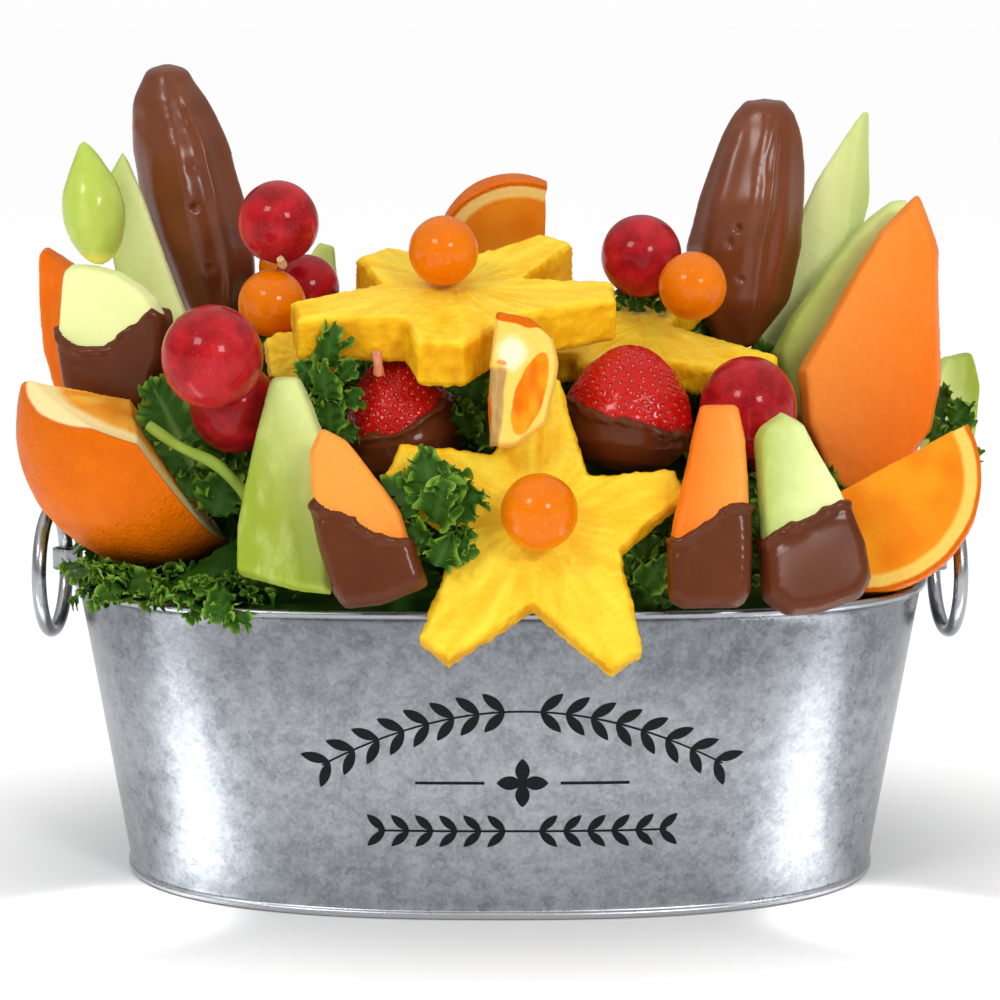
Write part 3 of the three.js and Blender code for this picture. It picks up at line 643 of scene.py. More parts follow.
def make_ring(name, side):
    """A ring of round wire in the place of its CAD ring."""
    centre = middle(name)
    low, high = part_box(name)
    wire = 2.15 * MM
    radius = (high.z - low.z) / 2 - wire
    lean = math.asin(min(1, ((high.x - low.x) / 2 - wire) / radius))
    around = np.array([side * math.sin(lean), -math.cos(lean), 0])
    turns, sides = 128, 24
    a, b = np.meshgrid(np.linspace(0, 2 * math.pi, turns, endpoint=False),
                       np.linspace(0, 2 * math.pi, sides, endpoint=False), indexing="ij")
    out = np.cos(a)[..., None] * around + np.sin(a)[..., None] * UP
    across = np.cross(around, UP)
    points = centre + out * (radius + wire * np.cos(b))[..., None] + across * (wire * np.sin(b))[..., None]
    ring = grid_faces(turns + 1, sides, closed=True) % (turns * sides)
    obj = new_object(name + "_wire", points.reshape(-1, 3), ring)
    return dress(obj, FINISH["steel_wire"], "steel_wire", name, body=name)


def make_ear(name):
    """The CAD ear with rounded edges."""
    obj = skin(name + "_strap", name, 0.35 * MM, 3)
    return dress(obj, FINISH["galvanised"], "galvanised", name)


# ---- round fruit ------------------------------------------------------------------
def ball(name, node, scar=(0, 0, -1), dent=0.5 * MM, wave=0.012, seed=0):
    """A berry or grape: not quite round, with a small scar where its stalk was."""
    shape = bmesh.new()
    bmesh.ops.create_icosphere(shape, subdivisions=5, radius=1)
    mesh = bpy.data.meshes.new(name)
    shape.to_mesh(mesh)
    shape.free()
    obj = linked(name, mesh)
    around = unit(coords(obj))
    radius = half_size(node) * 1.03
    towards = around @ unit(np.array(scar, float))
    size = 1 + wave * noise(around, 0.9, seed) + 0.4 * wave * noise(around, 0.35, seed + 5)
    pit = ramp(towards, 0.965, 1.0)
    points = around * radius * size[:, None] - around * (dent * pit)[:, None]
    reshape(obj, middle(node) + points)
    shade_smooth(mesh)
    paint(obj, "scar", ramp(towards, 0.988, 0.994))
    return obj


SCARS = {
    "golden_berry_front": (0.3, 0.8, 0.5),
    "golden_berry_top": (0, 0.9, -0.3),
    "golden_berry_left": (0.2, 0.8, -0.5),
    "golden_berry_right": (0.1, 0.9, -0.4),
    "golden_berry_back": (0, 1, 0),
    "red_grape_upper_left": (0.25, -0.2, -0.95),
    "red_grape_behind_left": (0, 1, 0),
    "red_grape_front_left": (0.2, 0.9, -0.4),
    "red_grape_low_left": (0, 1, 0),
    "red_grape_upper_right": (0.1, 0.9, -0.4),
    "red_grape_front_right": (0.1, 0.9, -0.4),
    "red_grape_low_right": (0, 1, 0),
}


def make_balls():
    made = []
    for seed, (node, scar) in enumerate(SCARS.items()):
        kind = "golden_berry" if node.startswith("golden") else "red_grape"
        obj = ball(node + "_fruit", node, scar, seed=seed)
        made.append(dress(obj, FINISH[kind], kind, node))
    return made


def make_green_grape():
    """A long pointed grape, yellow where its stalk end looks down."""
    node = "green_grape"
    rows, cols = 72, 72
    low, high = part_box(node)
    base = np.array([-120, -12, 187.6]) * MM
    share = np.linspace(0.0005, 0.9995, rows)
    belly = np.sin(math.pi * np.clip(share, 0, 1) ** 0.86) ** 0.58
    girth = 8.7 * MM * 1.08 * belly * (1 - 0.30 * ramp(share, 0.45, 1.0))
    t, a = np.meshgrid(share, np.linspace(0, 2 * math.pi, cols, endpoint=False), indexing="ij")
    reach = np.repeat(girth[:, None], cols, axis=1)
    local = np.stack([reach * np.cos(a), t * 37 * MM, reach * np.sin(a)], axis=-1).reshape(-1, 3)
    axes = pose_axes(0, 0, 7)
    obj = new_object("green_grape_fruit", base + local @ axes.T, grid_faces(rows, cols, closed=True)[:, ::-1])
    place = coords(obj)
    swell(obj, 0.4 * MM * cloud(place, 10 * MM, 4, 2))
    paint(obj, "scar", ramp(place[:, 2], low.z + 5 * MM, low.z + 0.5 * MM))
    return dress(obj, FINISH["green_grape"], "green_grape", node)


# ---- pineapple --------------------------------------------------------------------
def slim_arm(obj):
    """Cuts the front star's right arm slimmer along its upper edge."""
    x, _, z = coords(obj).T / MM
    share = ramp(x, 12, 24) * ramp(z, 118, 141) * ramp(z, 168, 147) * (1 - 0.4 * ramp(x, 30, 48))
    reshape(obj, coords(obj) - (5.5 * MM * share)[:, None] * UP)


def make_pineapple(node, voxel, seed):
    """A cut slice: radial fibres on its faces, its sides painted a darker amber as shade, and a torn edge."""
    obj = skin(node + "_flesh", node, voxel, 4)
    if node == "pineapple_star_front":
        slim_arm(obj)
    place, out = coords(obj), normals(obj)
    centre, axis = middle(node), flat_axis(node)
    flat = np.abs(out @ axis)
    side = ramp(flat, 0.85, 0.45)
    away = place - centre
    height = away @ axis
    away = away - height[:, None] * axis
    reach = np.linalg.norm(away, axis=1)
    first = unit(np.cross(axis, UP))
    second = np.cross(axis, first)
    angle = np.arctan2(away @ second, away @ first)
    polar = np.stack([angle * 22 * MM, reach * 0.22, height * 0.5], axis=1)
    fibre = noise(polar, 1.5 * MM, seed) * 0.6 + noise(polar, 3.4 * MM, seed + 3) * 0.6
    across = np.stack([away @ first, away @ second, height * 0.3], axis=1)
    tear = noise(across, 7 * MM, seed + 9) + 0.5 * noise(across, 2.1 * MM, seed + 10)
    tear = tear + 0.4 * noise(across, 1.2 * MM, seed + 12)
    edge = ramp(flat, 0.97, 0.6)
    relief = 0.24 * MM * fibre + edge * 0.45 * MM * tear + 0.22 * MM * cloud(place, 1.9 * MM, seed + 6)
    swell(obj, relief)
    # The side share marks the sides for the darker amber painted shade.
    paint(obj, "side", side)
    paint(obj, "fibre", 0.5 + 0.5 * fibre)
    return dress(obj, FINISH["pineapple"], "pineapple", node)


# ---- melon ------------------------------------------------------------------------
SMOOTH = {}                                  # fruits before their fine relief, for the coats over them

# For each piece the direction from its middle towards its rind, and how near the rind its middle is.
RIND_SIDE = {
    "cantaloupe_slice_right": ((0.5, 0.6, -0.6), 0.75),
    "honeydew_slice_right": ((-0.7, 0.3, 0.3), 0.45),
    # Painted light: the spear's small share keeps it pale all over, lifting it out of the shade it stands in.
    "honeydew_spear_right": ((1.0, 0.0, 0.0), 0.04),
    "honeydew_bit_right": ((0.9, 0.3, 0.4), 0.5),
    "cantaloupe_slice_left": ((-0.9, 0.3, 0.0), 0.8),
    "honeydew_chunk_left": ((-0.3, 0.5, -0.8), 0.3),
    "honeydew_sliver_left": ((-0.8, 0.3, 0.5), 0.1),
    "honeydew_wedge_front": ((-0.55, 0.3, -0.8), 0.82),
    "cantaloupe_wedge_left": ((0.9, 0.2, -0.2), 0.15),
    "cantaloupe_wedge_right": ((-0.9, 0.2, 0.2), 0.5),
    "honeydew_wedge_right": ((-1.0, 0.2, 0.0), 0.3),
    "honeydew_bit_left": ((0.5, 0.5, 0.5), 0.5),
}


def make_melon(node, seed):
    kind = node.split("_")[0]
    obj = skin(node + "_flesh", node, 0.75 * MM, 9)
    place = coords(obj)
    away = (place - middle(node)) / half_size(node)
    towards, share = RIND_SIDE[node]
    rind = share + 0.55 * (away @ unit(np.array(towards)))
    SMOOTH[obj.name] = place + 0.5 * MM * normals(obj)
    relief = 0.32 * MM * cloud(place, 16 * MM, seed, 2) + 0.09 * MM * cloud(place, 2.2 * MM, seed + 4, 2)
    swell(obj, 0.35 * MM + relief)
    paint(obj, "rind", rind)
    return dress(obj, FINISH[kind], kind, node)


# ---- chocolate coats --------------------------------------------------------------
# Where each dipped fruit stands: its middle in millimetres, how it is turned about the upright,
# tipped back and rolled, and the dip line in its own plane as (across, up).
DIPS = {
    "chocolate_honeydew_left": ("honeydew_chunk_left", (-116.3, -10.6, 170.9), -10, 2, 0, [
        (-17, -1.4), (-14.3, -4.4), (-10.5, -6.7), (-3.4, -7.1), (2.7, -5.9), (6.7, -1.5), (10.7, 0.6),
        (13.7, 4.1), (17.6, -0.5)]),
    "chocolate_cantaloupe_left": ("cantaloupe_wedge_left", (-37.6, -89, 120.4), 4, 17, 0, [
        (-15, 7.5), (-9, 4.6), (-3, 3), (2, -1.5), (7, -2.2), (14, -3.2)]),
    "chocolate_cantaloupe_right": ("cantaloupe_wedge_right", (58.9, -86.2, 122.8), 0, 16, 0, [
        (-12, -6), (-6, -3.6), (0, 0.4), (5, 3.6), (11, 4.6)]),
    "chocolate_honeydew_right": ("honeydew_wedge_right", (85.3, -81.5, 122.1), 8, 16, 0, [
        (-14, -4.6), (-6, -1.8), (2, 1.6), (9, 4.6), (14, 4)]),
    "chocolate_strawberry_left": ("strawberry_left", (-29.6, -42.4, 144.4), 0, -6, 8, [
        (-18, -0.9), (-9.8, -0.4), (-3.8, 1.1), (0.5, 2), (6, 4), (11.4, 5.4), (17, 6.2)]),
    "chocolate_strawberry_right": ("strawberry_right", (37.8, -44, 148.6), 0, 8, -6, [
        (-19, 2), (-13, -0.5), (-7.7, -1.7), (-2.4, -2.7), (3, -3.4), (8, -4.2), (13.5, -4.9), (19, -4.9)]),
}


def pose_axes(face, lean, roll=0):
    """Across, up and towards the viewer for a piece turned, tipped back and rolled, as columns."""
    turn, tip, spin = (math.radians(a) for a in (face, lean, roll))
    across = np.array([math.cos(turn), math.sin(turn), 0])
    up = np.array([-math.sin(turn) * math.sin(tip), math.cos(turn) * math.sin(tip), math.cos(tip)])
    near = np.cross(across, up)
    rolled = across * math.cos(spin) + up * math.sin(spin)
    return np.stack([rolled, np.cross(near, rolled), near], axis=1)


def make_coat(node, fruit, seed, wave=1.3 * MM, body=1.2 * MM):
    """Chocolate over the lower part of a fruit, with a wavy thick rim along its dip line."""
    _, at, face, lean, roll, dip = DIPS[node]
    mesh = fruit.data.copy()
    mesh.name = node + "_shell"
    obj = linked(node + "_shell", mesh)
    reshape(obj, SMOOTH[fruit.name])
    place, out = coords(obj), normals(obj)
    own = (place - np.array(at) * MM) @ pose_axes(face, lean, roll)
    dip = np.array(dip) * MM
    line = np.interp(own[:, 0], dip[:, 0], dip[:, 1]) - own[:, 1]
    line = line + wave * noise(place, 6.5 * MM, seed) + 0.45 * wave * noise(place, 2.4 * MM, seed + 1)
    lip = 0.75 * MM * np.exp(-(((line - 1.4 * MM) / (1.1 * MM)) ** 2))
    beads = 1 + 1.1 * noise(place, 2.8 * MM, seed + 3)
    drips = 0.16 * MM * noise(place, 15 * MM, seed + 2)
    drips = drips + 0.4 * MM * ramp(line, 7 * MM, 2 * MM) * noise(place, 3.2 * MM, seed + 4)
    height = ramp(line, -0.3 * MM, 1.0 * MM) * (body + lip * beads + drips) - 0.5 * MM
    keep = line > -1.2 * MM
    reshape(obj, place + out * height[:, None])
    shape = bmesh.new()
    shape.from_mesh(mesh)
    shape.verts.ensure_lookup_table()
    gone = [face for face in shape.faces if not any(keep[v.index] for v in face.verts)]
    bmesh.ops.delete(shape, geom=gone, context="FACES")
    shape.to_mesh(mesh)
    shape.free()
    return dress(obj, FINISH["chocolate"], "chocolate", node)


def make_banana(node, seed, ridges, band, dents):
    """A half banana in chocolate: a few long ridges, a wavy glossy band and small dents.

    A ridge is (degrees from the front at the foot, at the top, width, height) and the band the
    same without its height; a dent is (degrees, height share, radius, depth).
    """
    obj = skin(node + "_shell", node, 0.6 * MM, 40)
    place = coords(obj)
    low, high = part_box(node)
    tall = high.z - low.z
    swell(obj, np.full(len(place), 1.1 * MM))
    level = (place[:, 2] - low.z) / tall
    slots = np.clip((level * 20).astype(int), 0, 19)
    counts = np.maximum(np.bincount(slots, minlength=20), 1)
    spine = [np.bincount(slots, place[:, i], 20) / counts for i in (0, 1)]
    across, near = (place[:, i] - np.interp(level * 20 - 0.5, np.arange(20), spine[i]) for i in (0, 1))
    around = np.degrees(np.arctan2(across, -near)) + 4 * noise(place * [0, 0, 1], 16 * MM, seed)
    fade = ramp(level, 0.0, 0.12) * ramp(level, 0.97, 0.78)

    def beside(foot, top, wide):
        return np.exp(-(((around - foot - (top - foot) * level) / wide) ** 2))

    relief = 0.35 * noise(place, 12 * MM, seed + 3) * ramp(level, 1.0, 0.9)
    relief = relief + beside(*band) * 1.0 * noise(place * [0.6, 0.6, 1], 11 * MM, seed + 6) * fade
    for foot, top, wide, size in ridges:
        relief = relief + size * beside(foot, top, wide) * fade
    patches = ramp(noise(place, 14 * MM, seed + 8), 0.3, 0.8)
    relief = relief + 0.3 * patches * noise(place, 3.6 * MM, seed)
    crown = np.hypot(across, near) / MM
    relief = relief + 0.6 * np.exp(-(((crown - 5) / 1.6) ** 2)) * ramp(level, 0.90, 0.97)
    for turn, height, wide, deep in dents:
        off = np.hypot((around - turn) / 57.3 * 13, (level - height) * tall / MM) / wide
        relief = relief - deep * np.exp(-(off**2))
    swell(obj, relief * MM)
    return dress(obj, FINISH["glossy_chocolate"], "chocolate", node)


# ---- strawberries -----------------------------------------------------------------
# Points on a strawberry's outline from its wide end to its tip, as (share of half width, share of height).
PROFILE_STEPS = 400
STRAWBERRY_PROFILE = [(0, 0), (0.42, 0.02), (0.72, 0.09), (0.93, 0.22), (1, 0.42), (0.90, 0.62), (0.66, 0.82),
                      (0.40, 0.94), (0.2, 0.985), (0, 1)]


def seed_spots(count, seed):
    """Nearly evenly spread (height share, angle) pairs on a strawberry."""
    golden = math.pi * (3 - math.sqrt(5))
    rng = np.random.default_rng(seed)
    return [((i + 0.5) / count, i * golden + rng.normal() * 0.03) for i in range(count)]


def make_strawberry(node, seed):
    """A strawberry standing on its wide end, its seeds in small pits that are painted darker as shade."""
    rows, cols = 190, 250
    radius, height = half_size(node)[0] * 1.02, half_size(node)[2] * 2
    share = np.linspace(0, 1, rows)
    table = np.array(STRAWBERRY_PROFILE)
    steps = np.linspace(0, 1, PROFILE_STEPS)
    smooth = np.interp(steps, table[:, 1], table[:, 0])
    smooth[1:-1] = np.convolve(smooth, np.ones(9) / 9, "same")[1:-1]
    girth = np.interp(share, steps, smooth)
    girth[0] = girth[-1] = 0.001
    angle = np.linspace(0, 2 * math.pi, cols, endpoint=False)
    t, a = np.meshgrid(share, angle, indexing="ij")
    reach = radius * np.repeat(girth[:, None], cols, axis=1)
    local = np.stack([reach * np.cos(a), (t - 0.5) * height, reach * np.sin(a)], axis=-1).reshape(-1, 3)
    axes = pose_axes(*DIPS["chocolate_" + node][2:5])
    faces = grid_faces(rows, cols, closed=True)[:, ::-1]
    obj = new_object(node + "_skin", middle(node) + local @ axes.T, faces)
    place = coords(obj)
    swell(obj, 0.5 * MM * cloud(place, 12 * MM, seed, 2))
    place, out = coords(obj), normals(obj)
    SMOOTH[obj.name] = place
    index = KDTree(len(place))
    for i, p in enumerate(place):
        index.insert(Vector(p), i)
    index.balance()
    pit = np.zeros(len(place))
    ring = np.zeros(len(place))
    seeds = []
    for level, turn in seed_spots(480, seed):
        girth_here = np.interp(level, steps, smooth) * radius
        spot = np.array([girth_here * math.cos(turn), (level - 0.5) * height, girth_here * math.sin(turn)])
        _, nearest, _ = index.find(Vector(middle(node) + axes @ spot))
        for _, i, distance in index.find_range(Vector(place[nearest]), 1.7 * MM):
            pit[i] = max(pit[i], math.exp(-((distance / (0.6 * MM)) ** 2)))
            ring[i] = max(ring[i], math.exp(-(((distance - 1.0 * MM) / (0.38 * MM)) ** 2)))
        seeds.append((place[nearest], out[nearest]))
    reshape(obj, place + out * (0.22 * MM * ring - 0.4 * MM * pit)[:, None])
    # The pit share darkens the pits as painted shade.
    paint(obj, "pit", pit)
    dress(obj, FINISH["strawberry"], "strawberry", node)
    make_seeds(node, seeds, axes[:, 1])
    return obj


def make_seeds(node, spots, long_way):
    """Flat drop-shaped seeds, each in its pit, as one piece."""
    rows, cols = 5, 8
    t, a = np.meshgrid(np.linspace(0.02, math.pi - 0.02, rows),
                       np.linspace(0, 2 * math.pi, cols, endpoint=False), indexing="ij")
    grain = np.stack([np.sin(t) * np.cos(a) * 0.22, np.cos(t) * 0.36, np.sin(t) * np.sin(a) * 0.2], axis=-1)
    parts = []
    for spot, out in spots:
        up = unit(long_way - (long_way @ out) * out)
        axes = np.stack([np.cross(up, out), up, out], axis=1)
        points = spot - out * 0.3 * MM + (grain.reshape(-1, 3) * MM) @ axes.T
        parts.append((points, grid_faces(rows, cols, closed=True), np.zeros(len(points))))
    points, faces, _ = joined(parts)
    obj = new_object(node + "_seeds", points, faces)
    return dress(obj, FINISH["seed"], "strawberry")


# ---- oranges ----------------------------------------------------------------------
# Each wedge: the middle and radius of its orange, the direction of its core, how much thicker
# than usual its pith is, and how pale.
ORANGES = {
    "orange_wedge_left": ((-104.7, -24, 139), 41, (-0.558, 0, 0.829), 2.6, 0.5),
    "orange_wedge_right": ((106.4, -43.5, 127.4), 34.5, (0.875, 0, 0.484), 1.0, 0.0),
    "orange_wedge_top": ((4.1, 20, 189.2), 24, (0.94, 0, 0.34), 1.0, 0.2),
}
# A slanting knife cut across the top of a wedge: a point on it and the way it looks.
SLANT_CUTS = {"orange_wedge_left": ((-125.5, -56.8, 146.0), (-0.173, -0.45, 0.876))}


def make_orange(node, seed):
    """A wedge cut from an orange: round porous peel outside, pith and streaked pulp on the cuts."""
    (x, y, z), radius, core, pith, pale = ORANGES[node]
    centre, radius, core = np.array([x, y, z]) * MM, radius * MM, unit(np.array(core))
    obj = skin(node + "_fruit", node, 0.45 * MM, 2)
    away = coords(obj) - centre
    reach = np.linalg.norm(away, axis=1)
    round_one = radius * (1 + 0.012 * noise(away, 13 * MM, seed) + 0.004 * noise(away, 4 * MM, seed + 1))
    lift = ramp(reach / radius, 0.86, 0.95) * (round_one / reach - 1)
    away = away * (1 + lift)[:, None]
    if node in SLANT_CUTS:
        at, out = (np.array(v) for v in SLANT_CUTS[node])
        above = np.maximum((away + centre - at * MM) @ unit(out), 0)
        away = away - above[:, None] * unit(out)
    reshape(obj, centre + away)
    reach = np.linalg.norm(away, axis=1)
    along = away @ core
    radial = away - along[:, None] * core
    first = unit(np.cross(core, UP))
    turn = np.arctan2(radial @ np.cross(core, first), radial @ first)
    spokes = np.stack([turn * 16 * MM, np.linalg.norm(radial, axis=1) * 0.3, along * 0.3], axis=1)
    pulp = noise(spokes, 2.1 * MM, seed + 2) * 0.6 + noise(spokes, 4.5 * MM, seed + 5) * 0.5
    depth = (round_one - reach) / MM
    depth = np.where(depth > 1.6, 1.6 + (depth - 1.6) / pith, depth)
    flesh = ramp(depth, 4.2, 5.6)
    swell(obj, flesh * (0.32 * MM * pulp + 0.15 * MM))
    paint(obj, "depth", depth)
    paint(obj, "pulp", 0.5 + 0.5 * pulp)
    paint(obj, "pale", np.full(len(depth), pale))
    return dress(obj, FINISH["orange"], "orange", node)


def make_middle_wedge(node, seed):
    """The upright wedge seen from its torn end: pale pith, a slanting lens of pulp and a dry strip."""
    obj = skin(node + "_fruit", node, 0.5 * MM, 6)
    place = coords(obj)
    away = (place - middle(node)) / half_size(node)
    across = away[:, 0] + 0.05 * noise(place, 5 * MM, seed)
    up = away[:, 2] + 0.04 * noise(place, 4 * MM, seed + 1)
    front = ramp(away[:, 1], 0.75, 0.35)
    top_line = np.interp(across, [-0.8, 0.4, 0.93, 1.1], [0.95, 0.83, 0.62, 0.5])
    peel = np.maximum(ramp(up, top_line - 0.10, top_line - 0.03), ramp(across, -0.86, -0.97))
    slant = np.array([-0.33, -0.94])
    own = np.stack([(across - 0.22) * 10.3, (up + 0.18) * 20.2], axis=1)
    along, aside = own @ slant, own @ np.array([slant[1], -slant[0]])
    lens = ramp(np.hypot(along / 12.5, aside / 3.9), 1.08, 0.9) * front
    pale = ramp(np.hypot((across + 0.28) / 0.5, (up - 0.42) / 0.28), 1.1, 0.4) * front
    strip = ramp(up, 0.22, 0.14) * ramp(across, -0.38 + 0.2 * (up - 0.1), -0.46 + 0.2 * (up - 0.1)) * front
    scar = ramp(np.hypot((across + 0.56) / 0.19, (up - 0.27) / 0.06), 1.15, 0.8) * front
    pulp = noise(place * [1, 1, 0.4], 2.2 * MM, seed + 2)
    relief = 0.35 * lens * (1 + pulp) - 0.5 * strip + 0.35 * scar + 0.3 * cloud(place, 7 * MM, seed + 3)
    swell(obj, (relief + 0.2 * strip * noise(place * [1, 1, 0.1], 1.3 * MM, seed + 4)) * MM)
    depth = 3.2 + 4.5 * lens - 2.7 * np.maximum(peel, 0.75 * scar)
    paint(obj, "depth", depth)
    paint(obj, "pulp", 0.45 + 0.5 * pulp)
    paint(obj, "pale", pale)
    paint(obj, "dry", strip * (1 - scar))
    return dress(obj, FINISH["orange"], "orange", node)


# ---- kale -------------------------------------------------------------------------
def kale_leaf(rng, length, width=0.42, frill=1.0, calm=0.0, veined=0.2, rows=8, cols=108):
    """One curly leaf from its stalk at the origin along +Y, face up +Z: points, (edge, vein) shares, the edge
    share being a painted highlight on the margin and fold crests.

    Rows run out from the midrib, columns follow the margin round the tip. The margin is far longer
    than the blade, so it stands in folds that fade inwards; `calm` smooths its right-hand side.
    """
    u, v = np.meshgrid(np.linspace(0, 1, rows) ** 0.62, np.linspace(-1, 1, cols), indexing="ij")
    phase = rng.uniform(0, 2 * math.pi, 8)
    turn = 2.5 * v
    lobes = 1 + 0.17 * np.cos(4.6 * turn * 0.8 + phase[0]) + 0.10 * np.cos(7.9 * turn + phase[1])
    side = width * length * np.sin(turn) * lobes
    ahead = length * (0.5 + 0.5 * np.cos(turn)) * (0.92 + 0.08 * lobes)
    rib = 0.84 * ahead - 0.07 * length * np.sin(turn) ** 2
    margin = np.stack([side, ahead - rib], axis=-1)
    outward = unit(margin)
    fold = 1.9 * MM * frill * (1 - calm * ramp(v, -0.1, 0.4)) * min(1, length / (12 * MM))
    waves = (1 + 2 * width) * length / (4.1 * MM)
    wide = waves * math.pi * v + 1.3 * np.sin(2.9 * math.pi * v + phase[2]) + phase[3]
    fine = 2.6 * wide + 1.9 * np.sin(4.7 * math.pi * v + phase[4]) + 2.5 * u + phase[5]
    size = fold * u**2.2 * (0.8 + 0.35 * np.sin(5.3 * math.pi * v + phase[6]))
    small = 0.26 * fold * u**5
    rise = size * (np.sin(wide) + 0.25 * np.sin(2.1 * wide + phase[7])) + 1.1 * small * np.sin(fine)
    pull = 0.30 * size * np.cos(wide + 0.9) + 0.9 * small * np.cos(fine + 0.8)
    shift = 0.45 * size * np.sin(2 * wide) + 0.5 * small * np.sin(2 * fine)
    x = side * u + pull * outward[..., 0] - shift * outward[..., 1]
    y = rib + (ahead - rib) * u + pull * outward[..., 1] + shift * outward[..., 0]
    droop, cup = rng.uniform(0.05, 0.4), rng.uniform(-0.25, 0.35)
    z = rise + length * (cup * (x / length) ** 2 * 2 - droop * (y / length) ** 2)
    # Painted highlight: the edge share grows towards the margin and peaks along the fold crests.
    edge = u**3 * (0.72 + 0.28 * np.sin(wide + 0.6)) + 0.1 * u * np.sin(fine)
    vein = veined * np.exp(-((x / (0.35 * MM)) ** 2)) * (1 - 0.8 * y / length) * (u < 0.5)
    return np.stack([x, y, z], axis=-1), np.stack([edge, vein], axis=-1)


def placed_leaf(rng, length, at, grow, face, **shape):
    """A leaf whose stalk stands at `at`, growing along `grow`, its face towards `face`."""
    points, shares = kale_leaf(rng, length, **shape)
    grow = unit(np.asarray(grow, float))
    face = np.asarray(face, float)
    face = unit(face - (face @ grow) * grow)
    axes = np.stack([np.cross(grow, face), grow, face], axis=1)
    return np.asarray(at) + points @ axes.T, shares


def out_of_wall(points):
    """How far points stand out of the tub's wall line at their height, inside being negative."""
    a, b, power = wall_oval(np.clip(points[:, 2] / TUB["height"], 0, 1))
    reach = np.hypot(points[:, 0], points[:, 1])
    c, s = np.abs(points[:, 0]) / reach, np.abs(points[:, 1]) / reach
    return reach - ((c / a) ** power + (s / b) ** power) ** (-1 / power)


BACK_LIMIT = 88 * MM                         # how far back leaves may reach
BACK_EASE = 9 * MM                           # and the depth over which they are pressed flat before it


def within_back(points):
    """Leaf points, with those near the limit at the back pressed in towards the heap."""
    points = points.copy()
    start = BACK_LIMIT - BACK_EASE
    over = np.maximum(points[:, 1] - start, 0.0)
    points[:, 1] = np.minimum(points[:, 1], start) + BACK_EASE * (1 - np.exp(-over / BACK_EASE))
    return points


class Crowd:
    """The fruit and the tub, which leaves don't grow through."""

    def __init__(self, pieces):
        points, faces, start = [], [], 0
        for piece in pieces:
            points.append(coords(piece))
            faces += [[start + i for i in face.vertices] for face in piece.data.polygons]
            start += len(points[-1])
        self.tree = BVHTree.FromPolygons(np.concatenate(points).tolist(), faces)

    def blocked(self, points):
        """Which points lie in a fruit or in the tub's sheet."""
        hit = np.zeros(len(points), bool)
        for i, p in enumerate(points):
            spot, out, _, _ = self.tree.find_nearest(Vector(p))
            hit[i] = (Vector(p) - spot).dot(out) < 0.1 * MM
        return hit

    def free_leaf(self, leaf, inside=False):
        """The part of a leaf that grows freely from its stalk; `inside` keeps it within the rim."""
        grid, shares = leaf
        rows, cols = grid.shape[:2]
        points = grid.reshape(-1, 3)
        low = points[:, 2] < TUB["height"] + 1.2 * MM
        points = within_back(points)
        out = out_of_wall(points)
        across = (out > 0) != (out[:cols].mean() > 0)
        hit = self.blocked(points) | (low & (across | (np.abs(out) < 1.9 * MM)))
        if inside:
            hit = hit | (out > -2 * MM) & (points[:, 2] < 112 * MM)
        hit = np.logical_or.accumulate(hit.reshape(rows, cols), axis=0).ravel()
        quads = grid_faces(rows, cols)
        quads = quads[~hit[quads].any(axis=1)]
        used, quads = np.unique(quads, return_inverse=True)
        return points[used], quads.reshape(-1, 4), shares.reshape(-1, 2)[used]


def leafy(name, leaves, crowd, *nodes, inside=False):
    """Leaves as one piece, each ending where it meets a fruit."""
    free = [crowd.free_leaf(leaf, inside) for leaf in leaves]
    points, faces, shares = joined([part for part in free if len(part[1]) > 40])
    obj = new_object(name, points, faces)
    # The edge share paints the highlight on margins and fold crests.
    paint(obj, "edge", shares[:, 0])
    paint(obj, "vein", shares[:, 1])
    return dress(obj, FINISH["kale"], "kale", *nodes)


def make_core():
    """The dark packed leaves under the curly ones."""
    obj = skin("kale_core", "kale_heap", 2.2 * MM, 4)
    place = coords(obj)
    above = ramp(place[:, 2], 90 * MM, 100 * MM)
    swell(obj, above * (-5.5 * MM + 2.2 * MM * cloud(place, 9 * MM, 8)))
    paint(obj, "edge", 0.2 * ramp(cloud(place, 6 * MM, 3), 0.4, 1.2))
    return dress(obj, FINISH["kale"], "kale", "kale_heap")


def spots_on(rng, node, count, wanted):
    """Random (point, normal) pairs on a CAD lump where `wanted` holds."""
    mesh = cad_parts[node].data
    mesh.calc_loop_triangles()
    corners = np.array([v.co for v in mesh.vertices])
    triangles = np.array([t.vertices for t in mesh.loop_triangles])
    a, b, c = (corners[triangles[:, i]] for i in range(3))
    cross = np.cross(b - a, c - a)
    area = np.linalg.norm(cross, axis=1) * wanted((a + b + c) / 3, unit(cross))
    picks = rng.choice(len(area), count, p=area / area.sum())
    r, s = rng.random((2, count))
    r = np.sqrt(r)[:, None]
    s = s[:, None]
    points = a[picks] * (1 - r) + b[picks] * r * (1 - s) + c[picks] * r * s
    return points, unit(cross[picks])


def leaves_over(rng, node, count, lengths, wanted, stand=0.7, pull=(0, 0, 0), sunk=3 * MM, **shape):
    """Curly leaves all over a lump; `stand` is how steeply they rise from it."""
    leaves = []
    for spot, out in zip(*spots_on(rng, node, count, wanted)):
        side = unit(np.cross(out, rng.normal(size=3)))
        grow = unit(out * stand * rng.uniform(0.6, 1.3) + side * rng.uniform(0.4, 1.0) + np.array(pull))
        face = out + 0.3 * UP + 0.4 * rng.normal(size=3)
        leaves.append(placed_leaf(rng, rng.uniform(*lengths), spot - out * sunk, grow, face, **shape))
    return leaves


def on_top(points):
    return points[:, 2] > 93 * MM


def in_corner(points):
    """The front left corner of the heap, where the wedge of orange comes down low."""
    return (points[:, 0] < -76 * MM) & (points[:, 1] < -40 * MM)


